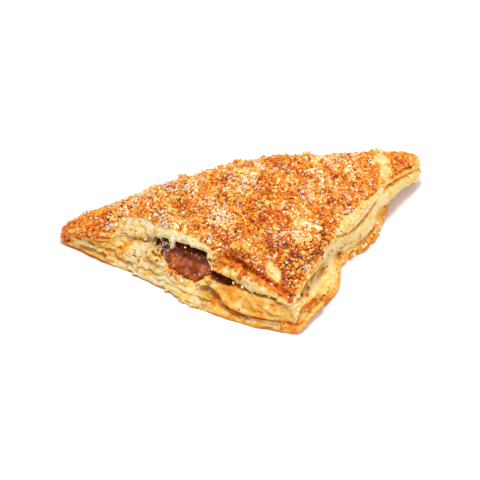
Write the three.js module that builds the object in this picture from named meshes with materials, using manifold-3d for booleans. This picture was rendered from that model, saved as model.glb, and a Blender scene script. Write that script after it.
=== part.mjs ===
// Apple danish pastry: a square of puff dough folded corner to corner over an apple
// filling and baked. Seen from above it is a right-angled triangle. The fold is the long
// side at +Y, the two cut sides meet at the front corner at -Y, and the pastry lies flat
// on its base at z = 0. All sizes are millimetres.
//
// pastry_crust : the dough, one piece. Its sheets fan out along the two cut sides, the
//                top crust is domed over the filling, and a mouth on the left cut side
//                opens into the pocket that holds the filling.
// apple_filling: the mound of filling, which fills the pocket from the middle of the
//                pastry out to the mouth.

import * as THREE from "three";
import { mergeVertices } from "three/addons/utils/BufferGeometryUtils.js";
import Module from "manifold-3d";

const wasm = await Module();
wasm.setup();

// ---------------------------------------------------------------- driving sizes
const HALF_FOLD = 84; // half the long side, tip to middle
const DEPTH = 84; // fold line to front corner
const Y_FOLD = DEPTH / 2; // fold line
const FOLD_BULGE = 2.6; // how far the baked fold swells past its line
const CORNER_ROUND = 6; // rounding of the three corners in plan
const TIP_FULLNESS = 3.9; // how much fuller the right tip is than a sharp corner
const DOME_RUN = 42; // distance in from a cut side over which the dome rises
const DOME_ROUND = 30; // how softly the two slopes meet along the middle
const FOLD_RUN = 24; // the same from the fold, where the dough turns over steeply
// Height of the top crust where it meets the cut sides, from the left tip to the right.
const EDGE_HEIGHTS = [[-84, 10], [-74, 11.4], [-64, 12.8], [-56, 12.8], [-48, 14.6], [-38, 17], [-28, 18], [0, 18.5], [50, 18.4], [62, 18.6], [72, 17.6], [86, 12.2]];
// How much higher the dome stands, along the fold. It is fullest over the filling's middle.
const DOME_RISES = [[-62, 8], [-50, 11.6], [-38, 12.4], [-26, 13.2], [-13, 15.6], [0, 19.4], [13, 19.6], [26, 16.2], [38, 13], [50, 12.4], [62, 10.8], [76, 9]];
// How far the underside of the curled up right tip stands off the tray.
const TIP_LIFT = [[50, 0], [60, 2.1], [72, 4.4], [80, 5], [91, 1.6]];
const CRUST = 7.5; // thickness of crust over the filling
const FLOOR = 8.5; // thickness of dough under the filling
const MOUTH_FLOOR = 6.6; // and where the filling runs out through the mouth
const GAP = 0.35; // air between the filling and the dough
const ROLL = 1.7; // rounding of each sheet's cut edge
const RAYS = [27, 27, 18]; // divisions along the left side, the right side and the fold
const FILLING_RAYS = [26, 9, 10];
const CENTRE = [0, 9]; // the point that every outline is seen from

// ---------------------------------------------------------------- small helpers
const clamp = (v, lo, hi) => Math.min(hi, Math.max(lo, v));
const smooth = (a, b, v) => {
  const t = clamp((v - a) / (b - a), 0, 1);
  return t * t * (3 - 2 * t);
};
// Value at v of a smooth curve through a few [position, value] pairs.
function curve(pairs, v) {
  if (v <= pairs[0][0]) return pairs[0][1];
  for (let i = 1; i < pairs.length; i++)
    if (v <= pairs[i][0]) {
      const [a, p] = pairs[i - 1],
        [b, q] = pairs[i];
      return p + (q - p) * smooth(a, b, v);
    }
  return pairs[pairs.length - 1][1];
}
// Smaller of two distances, with the corner between them rounded over k.
function smin(a, b, k) {
  const h = Math.max(k - Math.abs(a - b), 0) / k;
  return Math.min(a, b) - (h * h * k) / 4;
}
// A gentle irregular wave, between about -1 and 1.
const wave = (t, seed) =>
  0.5 * Math.sin(6.283 * (3.1 * t + 0.37 * seed)) +
  0.3 * Math.sin(6.283 * (7.3 * t + 0.71 * seed)) +
  0.2 * Math.sin(6.283 * (13.7 * t + 0.13 * seed));

// Distance in from each side of the nominal triangle, and how far along it.
const R2 = Math.SQRT2;
function sides(x, y) {
  return {
    left: (x + y + Y_FOLD) / R2,
    right: (y - x + Y_FOLD) / R2,
    fold: Y_FOLD - y,
    alongLeft: (x - y + HALF_FOLD + Y_FOLD) / (2 * HALF_FOLD),
    alongRight: (x + y + Y_FOLD) / (2 * HALF_FOLD),
  };
}

// Distance inside a sheet's outline. A sheet's outset tables say how far its edge stands
// outside (+) or inside (-) the nominal line, along the left side from the left tip to
// the front corner, and along the right side from the front corner to the right tip.
function inside(sheet, x, y) {
  const s = sides(x, y);
  const round = CORNER_ROUND + 5 * smooth(50, 80, x) - 3 * smooth(50, 80, -x);
  const a = s.left + curve(sheet.left, s.alongLeft) + sheet.wavy * wave(s.alongLeft, sheet.seed);
  const b = s.right + curve(sheet.right, s.alongRight) + sheet.wavy * wave(s.alongRight, sheet.seed + 5);
  const bulge = FOLD_BULGE * (1 - (x / HALF_FOLD) ** 2) + TIP_FULLNESS * smooth(50, 84, x) + 2.2 * smooth(50, 84, -x) - 1.6 * smooth(30, 62, -x);
  const c = s.fold + bulge + sheet.back;
  return smin(smin(a, b, CORNER_ROUND), c, round);
}

// ---------------------------------------------------------------- top of the pastry
// The crust has puffed up a little beside the mouth.
const LIP_PUFF = 1.7;
const lipPuff = (s) =>
  LIP_PUFF * smooth(0.21, 0.29, s.alongLeft) * (1 - smooth(0.56, 0.68, s.alongLeft)) * smooth(3, 10, s.left) * (1 - smooth(12, 28, s.left));
function topOf(x, y) {
  const s = sides(x, y);
  const legs = smin(s.left, s.right, DOME_ROUND);
  const rise = Math.sin((Math.PI / 2) * clamp(legs / DOME_RUN, 0, 1));
  const back = clamp((s.fold + FOLD_BULGE) / FOLD_RUN, 0, 1);
  const roll = Math.sqrt(1 - (1 - back) ** 2);
  const lump = 0.5 * Math.sin(0.13 * x + 0.9) * Math.cos(0.11 * y - 0.4);
  return curve(EDGE_HEIGHTS, x) + curve(DOME_RISES, x) * smin(rise, roll, 0.25) + lump + lipPuff(s);
}
// Underside: flat on the tray, but for the right tip, which has curled up.
const liftOf = (x, y) => curve(TIP_LIFT, x + 0.35 * (y - 20));

// ---------------------------------------------------------------- the sheets of dough
// top and bottom give a sheet's faces at (x, y), e being the distance in from its edge.
const BOTTOM_LEFT = [[0, 2], [0.08, 1.6], [0.17, 2.5], [0.32, 3.3], [0.48, 5.3], [0.6, 8.5], [0.72, 8], [0.82, 7], [0.92, 4.6], [1, 2]];
const BOTTOM_RIGHT = [[0, 2.1], [0.1, 2.8], [0.23, 4.8], [0.3, 3.2], [0.36, -0.6], [0.42, -3], [0.53, 2.2], [0.62, 2.4], [0.76, -0.4], [0.86, -1.6], [1, 1.4]];
const TOP_LEFT = [[0, 2.2], [0.15, 0.8], [0.23, -8], [0.255, -11], [0.41, -11], [0.47, -10], [0.54, -9.2], [0.66, -8.4], [0.78, -6.5], [0.88, -3.6], [1, -0.2]];
const TOP_RIGHT = [[0, -0.2], [0.1, -2.6], [0.33, -3.4], [0.5, -6.4], [0.64, -6], [0.76, -2.4], [0.9, 0.6], [1, 3]];

const shift = (table, by) => table.map(([t, v]) => [t, v + by]);

// Near the front corner the left edge of the upper sheet stands up as a flap beside the
// top crust, with a groove between the two.
const FLAP_RISE = 2.8;
function flapRise(x, y) {
  const s = sides(x, y);
  const clear = -(s.left + curve(TOP_LEFT, s.alongLeft)); // how far outside the top crust's edge
  return FLAP_RISE * smooth(0.66, 0.73, s.alongLeft) * (1 - smooth(0.92, 0.99, s.alongLeft)) * smooth(-0.5, 2, clear);
}

const sheets = {
  base: {
    left: BOTTOM_LEFT, right: BOTTOM_RIGHT, back: -2, wavy: 0.7, seed: 1,
    top: (x, y, e) => 3.6 + liftOf(x, y) + 0.4 * Math.sin(0.2 * x - 0.15 * y),
    bottom: (x, y, e) => liftOf(x, y) + 1.1 * (1 - smooth(0, 5, e)),
  },
  lower: {
    left: [[0, -1.2], [0.2, -0.2], [0.42, -0.8], [0.56, 2.2], [0.7, 2.6], [0.88, 0.8], [1, -0.9]],
    right: [[0, -0.9], [0.08, -1.6], [0.22, 0.4], [0.36, -3.4], [0.46, -4.6], [0.6, -1.6], [0.8, -3.6], [1, -2]],
    back: -0.4, wavy: 0.8, seed: 2,
    top: (x, y, e) => Math.min(9.2 - 1.8 * (1 - smooth(0, 7, e)) + liftOf(x, y), topOf(x, y) - 3),
    bottom: (x, y, e) => 4.2 - 1.6 * smooth(2, 8, e) + liftOf(x, y),
  },
  upper: {
    left: [[0, -1], [0.16, -1.6], [0.24, -5.2], [0.36, -6.4], [0.44, -12], [0.6, -12.5], [0.68, -4.2], [0.85, -0.6], [1, -0.4]],
    right: [[0, -0.4], [0.12, -2.8], [0.34, -5.4], [0.46, -3], [0.56, -0.8], [0.68, -1.6], [0.8, -3], [1, -1]],
    back: 0, wavy: 0.6, seed: 3,
    top: (x, y, e) => topOf(x, y) - 3.6 - 1.2 * (1 - smooth(0, 6, e)) + flapRise(x, y),
    bottom: (x, y, e) => Math.max(9.8 + liftOf(x, y) * 0.9, topOf(x, y) - 9.4) - 4.5 * smooth(5, 11, e),
  },
  top: {
    left: TOP_LEFT, right: TOP_RIGHT, back: -1.2, wavy: 0.5, seed: 4,
    top: (x, y, e) => topOf(x, y),
    bottom: (x, y, e) => topOf(x, y) - 3.1 - 1.2 * smooth(2, 9, e),
  },
  core: {
    left: shift(TOP_LEFT, -4), right: shift(TOP_RIGHT, -3.5), back: -0.4, wavy: 0.3, seed: 6,
    top: (x, y, e) => topOf(x, y) - 1.5,
    bottom: (x, y, e) => 0.6 + liftOf(x, y),
  },
};

// ---------------------------------------------------------------- a sheet as a solid
// Rings of points run in from the outline to the centre, on its top face and again on its
// underside, and meet in a rounded edge.
const EDGE_STEPS = [0, 0.5, 1.7, 4.5]; // from the outline in
const INNER_STEPS = [0.22, 0.45, 0.72]; // and from there as shares of the way to the centre
function directions(counts, centre) {
  const corners = [[-HALF_FOLD, Y_FOLD], [0, Y_FOLD - DEPTH], [HALF_FOLD, Y_FOLD]];
  const out = [];
  corners.forEach(([x, y], i) => {
    const [u, v] = corners[(i + 1) % 3];
    for (let j = 0; j < counts[i]; j++) {
      const t = 0.5 - 0.5 * Math.cos(Math.PI * (j / counts[i])); // closer at the corners
      const f = 0.45 * t + 0.55 * (j / counts[i]);
      out.push(Math.atan2(y + (v - y) * f - centre[1], x + (u - x) * f - centre[0]));
    }
  });
  return out; // anticlockwise seen from above
}

function edgeRadius(sheet, dx, dy, centre) {
  let near = 2, far = 130;
  for (let i = 0; i < 40; i++) {
    const mid = (near + far) / 2;
    if (inside(sheet, centre[0] + dx * mid, centre[1] + dy * mid) > 0) near = mid;
    else far = mid;
  }
  return near;
}

function closedSheet(sheet, counts = RAYS, centre = CENTRE) {
  const position = [], index = [];
  const around = directions(counts, centre);
  const n = around.length, rings = EDGE_STEPS.length + INNER_STEPS.length;
  const put = (x, y, z) => position.push(x, y, z) / 3 - 1;
  const top = [], bottom = [];
  around.forEach((a) => {
    const dx = Math.cos(a), dy = Math.sin(a);
    const r = edgeRadius(sheet, dx, dy, centre);
    const upper = [], lower = [];
    [...EDGE_STEPS, ...INNER_STEPS.map((share) => share * r)].forEach((e, i) => {
      const x = centre[0] + dx * (r - e), y = centre[1] + dy * (r - e);
      const zt = sheet.top(x, y, e), zb = Math.min(sheet.bottom(x, y, e), zt - 0.4);
      const q = clamp(e / ROLL, 0, 1), full = Math.sqrt(1 - (1 - q) ** 2);
      const mid = (zt + zb) / 2, half = ((zt - zb) / 2) * full;
      if (i === 0) { const at = put(x, y, mid); upper.push(at); lower.push(at); }
      else { upper.push(put(x, y, mid + half)); lower.push(put(x, y, mid - half)); }
    });
    top.push(upper); bottom.push(lower);
  });
  const [cx, cy] = centre;
  const ct = put(cx, cy, sheet.top(cx, cy, 60)), cb = put(cx, cy, sheet.bottom(cx, cy, 60));
  for (let j = 0; j < n; j++) {
    const k = (j + 1) % n;
    for (let i = 0; i < rings - 1; i++) {
      index.push(top[j][i], top[k][i + 1], top[j][i + 1]);
      index.push(bottom[j][i], bottom[j][i + 1], bottom[k][i + 1]);
      index.push(top[j][i], top[k][i], top[k][i + 1]);
      index.push(bottom[j][i], bottom[k][i + 1], bottom[k][i]);
    }
    index.push(top[j][rings - 1], top[k][rings - 1], ct);
    index.push(bottom[j][rings - 1], cb, bottom[k][rings - 1]);
  }
  const g = new THREE.BufferGeometry();
  g.setAttribute("position", new THREE.Float32BufferAttribute(position, 3));
  g.setIndex(index);
  return g;
}

// ---------------------------------------------------------------- join and cut
function solid(geometry, tolerance = 1e-4) {
  const g = mergeVertices(geometry, tolerance);
  return new wasm.Manifold(
    new wasm.Mesh({
      numProp: 3,
      vertProperties: new Float32Array(g.attributes.position.array),
      triVerts: new Uint32Array(g.index.array),
    }),
  );
}
function geometryOf(manifold) {
  const m = manifold.getMesh();
  const g = new THREE.BufferGeometry();
  g.setAttribute("position", new THREE.BufferAttribute(new Float32Array(m.vertProperties), 3));
  g.setIndex(new THREE.BufferAttribute(new Uint32Array(m.triVerts), 1));
  return g;
}

// ---------------------------------------------------------------- filling and pocket
// The filling is a mound under the dome. A tongue of it slopes down and out of the mouth,
// narrower the further it runs, and lies on the lower sheet.
const TONGUE = [[0, -17], [0.355, -17], [0.395, -7.6], [0.44, -3.8], [0.5, -0.6], [0.55, 1.3], [0.6, 1.1], [0.635, -2.6], [0.665, -7.5], [0.7, -17], [1, -17]];
const MOUTH_FROM = 0.365, MOUTH_TO = 0.655; // along the left side
const MOUTH_DEPTH = 9; // the lid ends this far in from the left side
const MOUTH_HEIGHT = 16, TONGUE_SLOPE = 0.62, TONGUE_END = 9.4;
const mouth = (t) => smooth(MOUTH_FROM - 0.03, MOUTH_FROM + 0.03, t) * (1 - smooth(MOUTH_TO - 0.03, MOUTH_TO + 0.03, t));
function fillingSheet(grow) {
  return {
    left: shift(TONGUE, grow), right: [[0, -16 + grow], [1, -16 + grow]], back: -13 + grow, wavy: 0, seed: 0,
    top: (x, y, e) => {
      const s = sides(x, y);
      const lid = topOf(x, y) - CRUST;
      const out = smooth(18, MOUTH_DEPTH - 2, s.left) * mouth(s.alongLeft);
      const face = Math.max(TONGUE_END, MOUTH_HEIGHT - TONGUE_SLOPE * Math.max(0, MOUTH_DEPTH - s.left));
      return lid + (Math.min(lid, face) - lid) * out + grow;
    },
    bottom: (x, y, e) => {
      const s = sides(x, y);
      const floor = FLOOR + 0.6 + (MOUTH_FLOOR - FLOOR - 0.6) * smooth(MOUTH_DEPTH - 2, 0, s.left) * mouth(s.alongLeft);
      return Math.min(floor, topOf(x, y) - CRUST - 1.5) - grow;
    },
  };
}
const FILLING_CENTRE = [-2, 10];
const mound = (grow) => solid(closedSheet(fillingSheet(grow), FILLING_RAYS, FILLING_CENTRE));
const filling = mound(0);
const room = mound(GAP); // the pocket, open above the tongue

let dough = solid(closedSheet(sheets.core));
for (const name of ["base", "lower", "upper", "top"]) dough = dough.add(solid(closedSheet(sheets[name])));
dough = dough.subtract(room);
// Little voids between sheets are baked shut: the dough is the one outer body.
const outerBody = (m) => m.decompose().reduce((a, b) => (b.volume() > a.volume() ? b : a));
for (let pass = 0; pass < 2; pass++) dough = outerBody(solid(geometryOf(outerBody(dough)), 1e-3));

// ---------------------------------------------------------------- the object
const crustMaterial = new THREE.MeshStandardMaterial({ color: 0xe2a04c, roughness: 0.75, metalness: 0 });
const fillingMaterial = new THREE.MeshStandardMaterial({ color: 0x8a4522, roughness: 0.3, metalness: 0 });

function piece(name, manifold, material) {
  const geometry = geometryOf(manifold).toNonIndexed();
  geometry.computeVertexNormals();
  const mesh = new THREE.Mesh(geometry, material);
  mesh.name = name;
  return mesh;
}

const danish = new THREE.Group();
danish.add(piece("pastry_crust", dough, crustMaterial));
danish.add(piece("apple_filling", filling, fillingMaterial));

// The origin is under the middle of the whole pastry, on the tray.
const box = new THREE.Box3().setFromObject(danish);
const middle = box.getCenter(new THREE.Vector3());
danish.children.forEach((mesh) => mesh.position.set(-middle.x, -middle.y, -box.min.z));

export default danish;
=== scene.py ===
import math

import bpy
import numpy as np
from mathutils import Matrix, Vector


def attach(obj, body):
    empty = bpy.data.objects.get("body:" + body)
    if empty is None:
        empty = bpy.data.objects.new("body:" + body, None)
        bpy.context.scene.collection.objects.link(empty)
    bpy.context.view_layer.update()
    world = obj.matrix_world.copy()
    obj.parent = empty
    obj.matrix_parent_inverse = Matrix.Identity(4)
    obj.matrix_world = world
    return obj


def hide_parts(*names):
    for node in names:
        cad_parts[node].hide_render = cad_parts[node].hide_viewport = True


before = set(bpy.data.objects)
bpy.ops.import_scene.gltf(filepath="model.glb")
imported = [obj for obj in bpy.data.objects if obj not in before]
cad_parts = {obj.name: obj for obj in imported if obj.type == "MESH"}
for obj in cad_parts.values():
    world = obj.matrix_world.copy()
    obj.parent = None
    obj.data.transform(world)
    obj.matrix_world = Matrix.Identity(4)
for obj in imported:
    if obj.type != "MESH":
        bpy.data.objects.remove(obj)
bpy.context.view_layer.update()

MM = 0.001
MOVE = np.array([-0.0511, -1.0782, 0.0])
PITCH = 0.42
F32 = np.float32

# ================================================================= small helpers


def smooth(a, b, v):
    t = np.clip((v - a) / (b - a), 0.0, 1.0)
    return t * t * (3 - 2 * t)


def curve(pairs, v):
    v = np.asarray(v, dtype=F32)
    out = np.full(v.shape, pairs[0][1], dtype=F32)
    for (a, p), (b, q) in zip(pairs, pairs[1:]):
        out = np.where(v > a, p + (q - p) * smooth(a, b, v), out)
    return out.astype(F32)


def smin(a, b, k):
    h = np.maximum(k - np.abs(a - b), 0) / k
    return np.minimum(a, b) - h * h * (k / 4)


def smax(a, b, k):
    return -smin(-a, -b, k)


_tables = {}


def table(seed, dims, n):
    key = (seed, dims, n)
    if key not in _tables:
        _tables[key] = np.random.default_rng(1000 + seed).uniform(-1, 1, (n,) * dims).astype(F32)
    return _tables[key]


def _cell(u):
    i = np.floor(u).astype(np.int64)
    f = (u - i).astype(F32)
    return i, f * f * (3 - 2 * f)


def rough1(t, step, seed):
    T = table(seed, 1, 211)
    i, f = _cell(np.asarray(t) / step + 50.3)
    return T[i % 211] * (1 - f) + T[(i + 1) % 211] * f


def rough2(x, y, step, seed):
    T = table(seed, 2, 173)
    i, f = _cell(np.asarray(x) / step + 60.2)
    j, g = _cell(np.asarray(y) / step + 40.7)
    i, f, j, g = np.broadcast_arrays(i, f, j, g)
    a = T[i % 173, j % 173] * (1 - f) + T[(i + 1) % 173, j % 173] * f
    b = T[i % 173, (j + 1) % 173] * (1 - f) + T[(i + 1) % 173, (j + 1) % 173] * f
    return a * (1 - g) + b * g


def rough3(p, step, seed):
    T = table(seed, 3, 71)
    step = np.broadcast_to(np.asarray(step, float), (3,))
    (i, f), (j, g), (k, h) = (_cell(p[:, a] / step[a] + 33.1 + a) for a in range(3))
    i0, i1, j0, j1, k0, k1 = i % 71, (i + 1) % 71, j % 71, (j + 1) % 71, k % 71, (k + 1) % 71
    c00 = T[i0, j0, k0] * (1 - f) + T[i1, j0, k0] * f
    c10 = T[i0, j1, k0] * (1 - f) + T[i1, j1, k0] * f
    c01 = T[i0, j0, k1] * (1 - f) + T[i1, j0, k1] * f
    c11 = T[i0, j1, k1] * (1 - f) + T[i1, j1, k1] * f
    return (c00 * (1 - g) + c10 * g) * (1 - h) + (c01 * (1 - g) + c11 * g) * h


def cells(p, size, seed):
    """How far the nearest of many scattered points is, in shares of the cell size."""
    q = p / size + 40.0
    i = np.floor(q).astype(np.int64)
    f = (q - i).astype(F32)
    tabs = [table(seed + m, 3, 71) for m in range(3)]
    best = np.full(len(p), 9.0, F32)
    for a in (-1, 0, 1):
        for b in (-1, 0, 1):
            for c in (-1, 0, 1):
                u, v, w = (i[:, 0] + a) % 71, (i[:, 1] + b) % 71, (i[:, 2] + c) % 71
                d = 0
                for m, off in enumerate((a, b, c)):
                    d = d + (off + 0.5 + 0.42 * tabs[m][u, v, w] - f[:, m]) ** 2
                best = np.minimum(best, d)
    return np.sqrt(best)


def rough3_grid(xs, ys, zs, step, seed):
    T = table(seed, 3, 71)
    i, f = _cell(xs / step[0] + 33.1)
    A = T[i % 71] * (1 - f)[:, None, None] + T[(i + 1) % 71] * f[:, None, None]
    j, g = _cell(ys / step[1] + 34.1)
    A = A[:, j % 71] * (1 - g)[None, :, None] + A[:, (j + 1) % 71] * g[None, :, None]
    k, h = _cell(zs / step[2] + 35.1)
    return A[:, :, k % 71] * (1 - h)[None, None, :] + A[:, :, (k + 1) % 71] * h[None, None, :]


# ================================================================= the layout of the pastry
R2 = math.sqrt(2)
LEG = 84 * R2
EDGE_HEIGHTS = [(-84, 10), (-74, 11.4), (-64, 12.8), (-56, 12.8), (-48, 14.6), (-38, 17), (-28, 18), (0, 18.5), (50, 18.4), (62, 18.6), (72, 17.6), (86, 12.2)]
DOME_RISES = [(-62, 8), (-50, 11.6), (-38, 12.4), (-26, 13.2), (-13, 15.6), (0, 19.4), (13, 19.6), (26, 16.2), (38, 13), (50, 12.4), (62, 10.8), (76, 9)]
TIP_LIFT = [(50, 0), (60, 2.1), (72, 4.4), (80, 5), (91, 1.6)]
BOTTOM_LEFT = [(0, 2), (0.08, 1.6), (0.17, 2.5), (0.32, 3.3), (0.48, 5.3), (0.6, 8.5), (0.72, 8), (0.82, 7), (0.92, 4.6), (1, 2)]
BOTTOM_RIGHT = [(0, 2.1), (0.1, 2.8), (0.23, 4.8), (0.3, 3.2), (0.36, -0.6), (0.42, -3), (0.53, 2.2), (0.62, 2.4), (0.76, -0.4), (0.86, -1.6), (1, 1.4)]
TONGUE = [(0, -17), (0.355, -17), (0.395, -7.6), (0.44, -3.8), (0.5, -0.6), (0.55, 1.3), (0.6, 1.1), (0.635, -2.6), (0.665, -7.5), (0.7, -17), (1, -17)]


def shifted(pairs, by):
    return [(t, v + by) for t, v in pairs]


class Place:
    """Where points lie: distance in from each side, how far along it, top and tray heights."""

    def __init__(self, x, y):
        self.x, self.y = x, y
        self.left = (x + y + 42) / R2
        self.right = (y - x + 42) / R2
        self.fold = 42 - y + 0 * x
        self.sl = (x - y + 126) / 168
        self.sr = (x + y + 42) / 168
        self.lift = curve(TIP_LIFT, x + 0.35 * (y - 20))
        legs = smin(self.left, self.right, 30.0)
        rise = np.sin(np.pi / 2 * np.clip(legs / 42, 0, 1))
        back = np.clip((self.fold + 2.6) / 24, 0, 1)
        roll = np.sqrt(np.maximum(1 - (1 - back) ** 2, 0))
        lump = 0.5 * np.sin(0.13 * x + 0.9) * np.cos(0.11 * y - 0.4)
        puff = 1.7 * smooth(0.21, 0.29, self.sl) * (1 - smooth(0.56, 0.68, self.sl)) * smooth(3, 10, self.left) * (1 - smooth(12, 28, self.left))
        self.top = curve(EDGE_HEIGHTS, x + 0 * y) + curve(DOME_RISES, x + 0 * y) * smin(rise, roll, 0.25) + lump + puff
        self.top = self.top - 1.0 * smooth(31, 36, self.top)  # room for the crumbs that lie on the dome
        self.bulge = 2.6 * (1 - (x / 84) ** 2) + 3.9 * smooth(50, 84, x) + 2.2 * smooth(50, 84, -x) - 1.6 * smooth(30, 62, -x)
        self.round = 6 + 5 * smooth(50, 74, x) - 6.5 * smooth(74, 83, x) - 3 * smooth(50, 80, -x)

    def outline(self, left, right, back=0.0, seed=0, amp=0.0):
        a = self.left + curve(left, self.sl)
        b = self.right + curve(right, self.sr)
        if amp:
            for step, share in ((13.0, 0.8), (5.0, 0.5), (2.1, 0.22)):
                a = a + amp * share * rough1(self.sl * LEG, step, seed * 7 + 1)
                b = b + amp * share * rough1(self.sr * LEG, step, seed * 7 + 2)
        c = self.fold + self.bulge + back
        return smin(smin(a, b, 6.0), c, self.round).astype(F32)


def on_left(s, o, z):
    """A point along the left side: share of its length, distance out from it, height."""
    return np.array([-84 + 84 * s - o / R2, 42 - 84 * s - o / R2, z])


def on_right(s, o, z):
    return np.array([84 * s + o / R2, -42 + 84 * s - o / R2, z])


OUT_L = np.array([-1, -1, 0]) / R2
ALONG_L = np.array([1, -1, 0]) / R2
OUT_R = np.array([1, -1, 0]) / R2
ALONG_R = np.array([1, 1, 0]) / R2
UP = np.array([0.0, 0, 1])

# ================================================================= a field of leaves


class Field:
    """Distances on a grid: below zero inside the dough."""

    def __init__(self, lo, hi, pitch):
        self.h = pitch
        self.lo = np.array(lo, float)
        self.xs, self.ys, self.zs = (np.arange(a, b, pitch) for a, b in zip(lo, hi))
        self.F = np.full((len(self.xs), len(self.ys), len(self.zs)), 9.0, dtype=F32)
        self.X = self.xs[:, None].astype(F32)
        self.Y = self.ys[None, :].astype(F32)

    def leaf(self, D, zb, zt, r=1.0, k=0.3):
        zb, zt = np.broadcast_arrays(zb, zt)
        keep = D > -3
        k0 = np.searchsorted(self.zs, float(zb[keep].min()) - 1.6)
        k1 = np.searchsorted(self.zs, float(zt[keep].max()) + 1.6)
        z = self.zs[k0:k1].astype(F32)[None, None, :]
        mid = ((zt + zb) / 2).astype(F32)[..., None]
        half = np.maximum((zt - zb) / 2, 0.12).astype(F32)
        rr = np.minimum(r, half * 0.96).astype(F32)
        q = np.abs(z - mid) - (half - rr)[..., None]
        e = (rr - D)[..., None].astype(F32)
        d = np.sqrt(np.maximum(q, 0) ** 2 + np.maximum(e, 0) ** 2) + np.minimum(np.maximum(q, e), 0) - rr[..., None]
        self.F[:, :, k0:k1] = smin(self.F[:, :, k0:k1], d, k)

    def _part(self, lo, hi):
        s = []
        for a, axis in enumerate((self.xs, self.ys, self.zs)):
            s.append(slice(max(np.searchsorted(axis, lo[a]), 0), max(np.searchsorted(axis, hi[a]), 0)))
        s = tuple(s)
        p = (self.xs[s[0]].astype(F32)[:, None, None], self.ys[s[1]].astype(F32)[None, :, None], self.zs[s[2]].astype(F32)[None, None, :])
        return s, p

    def rope(self, points, radii, k=0.8, cut=False, deep=None):
        """A round bead through some points. deep = (direction, factor) stretches it that way."""
        P = np.array(points, float)
        r = np.array(radii, float)
        reach = r.max() * (deep[1] if deep else 1) + 2 * k + 1
        s, (x, y, z) = self._part(P.min(0) - reach, P.max(0) + reach)
        if 0 in self.F[s].shape:
            return
        best = None
        for i in range(max(len(P) - 1, 1)):
            a, b = P[i], P[min(i + 1, len(P) - 1)]
            ra, rb = r[i], r[min(i + 1, len(P) - 1)]
            v = [x - a[0], y - a[1], z - a[2]]
            w = b - a
            if deep:
                n, f = deep
                along = v[0] * n[0] + v[1] * n[1] + v[2] * n[2]
                v = [v[c] - along * n[c] * (1 - 1 / f) for c in range(3)]
                wn = w @ n
                w = w - wn * n * (1 - 1 / f)
            ww = max(float(w @ w), 1e-9)
            t = np.clip((v[0] * w[0] + v[1] * w[1] + v[2] * w[2]) / ww, 0, 1)
            d = np.sqrt((v[0] - t * w[0]) ** 2 + (v[1] - t * w[1]) ** 2 + (v[2] - t * w[2]) ** 2) - (ra + (rb - ra) * t)
            best = d if best is None else np.minimum(best, d)
        best = best.astype(F32)
        self.F[s] = smax(self.F[s], -best, k) if cut else smin(self.F[s], best, k)

    def blob(self, centre, axes, radii, k=0.6, cut=False):
        c = np.array(centre, float)
        reach = max(radii) + 2 * k + 1
        s, (x, y, z) = self._part(c - reach, c + reach)
        if 0 in self.F[s].shape:
            return
        q = 0
        for axis, r in zip(axes, radii):
            u = (x - c[0]) * axis[0] + (y - c[1]) * axis[1] + (z - c[2]) * axis[2]
            q = q + (u / r) ** 2
        d = ((np.sqrt(q) - 1) * min(radii)).astype(F32)
        self.F[s] = smax(self.F[s], -d, k) if cut else smin(self.F[s], d, k)

    def sample(self, p):
        u = (p - self.lo) / self.h
        n = np.array(self.F.shape)
        u = np.clip(u, 0, n - 1.001)
        i = u.astype(np.int64)
        f = (u - i).astype(F32)
        i, j, k = i.T
        f, g, h = f.T
        F = self.F
        c00 = F[i, j, k] * (1 - f) + F[i + 1, j, k] * f
        c10 = F[i, j + 1, k] * (1 - f) + F[i + 1, j + 1, k] * f
        c01 = F[i, j, k + 1] * (1 - f) + F[i + 1, j, k + 1] * f
        c11 = F[i, j + 1, k + 1] * (1 - f) + F[i + 1, j + 1, k + 1] * f
        return (c00 * (1 - g) + c10 * g) * (1 - h) + (c01 * (1 - g) + c11 * g) * h

    def skin(self):
        """The zero surface as vertices and quads (one vertex in each cell that it crosses)."""
        F = self.F
        S = F < 0
        c = np.zeros(tuple(n - 1 for n in F.shape), np.uint8)
        ends = [(0, -1), (1, None)]
        for a in ends:
            for b in ends:
                for d in ends:
                    c += S[a[0]:a[1], b[0]:b[1], d[0]:d[1]]
        act = (c > 0) & (c < 8)
        I, J, K = np.nonzero(act)
        index = np.full(act.shape, -1, np.int32)
        index[act] = np.arange(len(I), dtype=np.int32)
        P = np.zeros((len(I), 3), F32)
        W = np.zeros(len(I), F32)
        corners = [(a, b, d) for a in (0, 1) for b in (0, 1) for d in (0, 1)]
        vals = {q: F[I + q[0], J + q[1], K + q[2]] for q in corners}
        for a in corners:
            for axis in range(3):
                if a[axis]:
                    continue
                b = tuple(a[m] + (m == axis) for m in range(3))
                fa, fb = vals[a], vals[b]
                cross = (fa < 0) != (fb < 0)
                t = np.where(cross, fa / np.where(cross, fa - fb, 1), 0)
                for m in range(3):
                    P[:, m] += np.where(cross, a[m] + (t if m == axis else 0), 0)
                W += cross
        P /= W[:, None]
        verts = (P + np.stack([I, J, K], 1)) * self.h + self.lo
        quads = []
        for axis in range(3):
            lo = [slice(1, -1)] * 3
            hi = [slice(1, -1)] * 3
            lo[axis] = slice(0, -1)
            hi[axis] = slice(1, None)
            A, B = S[tuple(lo)], S[tuple(hi)]
            i, j, k = np.nonzero(A != B)
            inside = A[i, j, k]
            e = [i, j, k]
            for m in range(3):
                if m != axis:
                    e[m] = e[m] + 1
            u, v = [(1, 2), (2, 0), (0, 1)][axis]

            def at(du, dv):
                q = [e[0].copy(), e[1].copy(), e[2].copy()]
                q[u] = q[u] - du
                q[v] = q[v] - dv
                return index[q[0], q[1], q[2]]

            ring = np.stack([at(1, 1), at(0, 1), at(0, 0), at(1, 0)], 1)
            quads.append(np.where(inside[:, None], ring, ring[:, ::-1]))
        quads = np.concatenate(quads)
        return verts, quads[(quads >= 0).all(1)]


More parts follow.
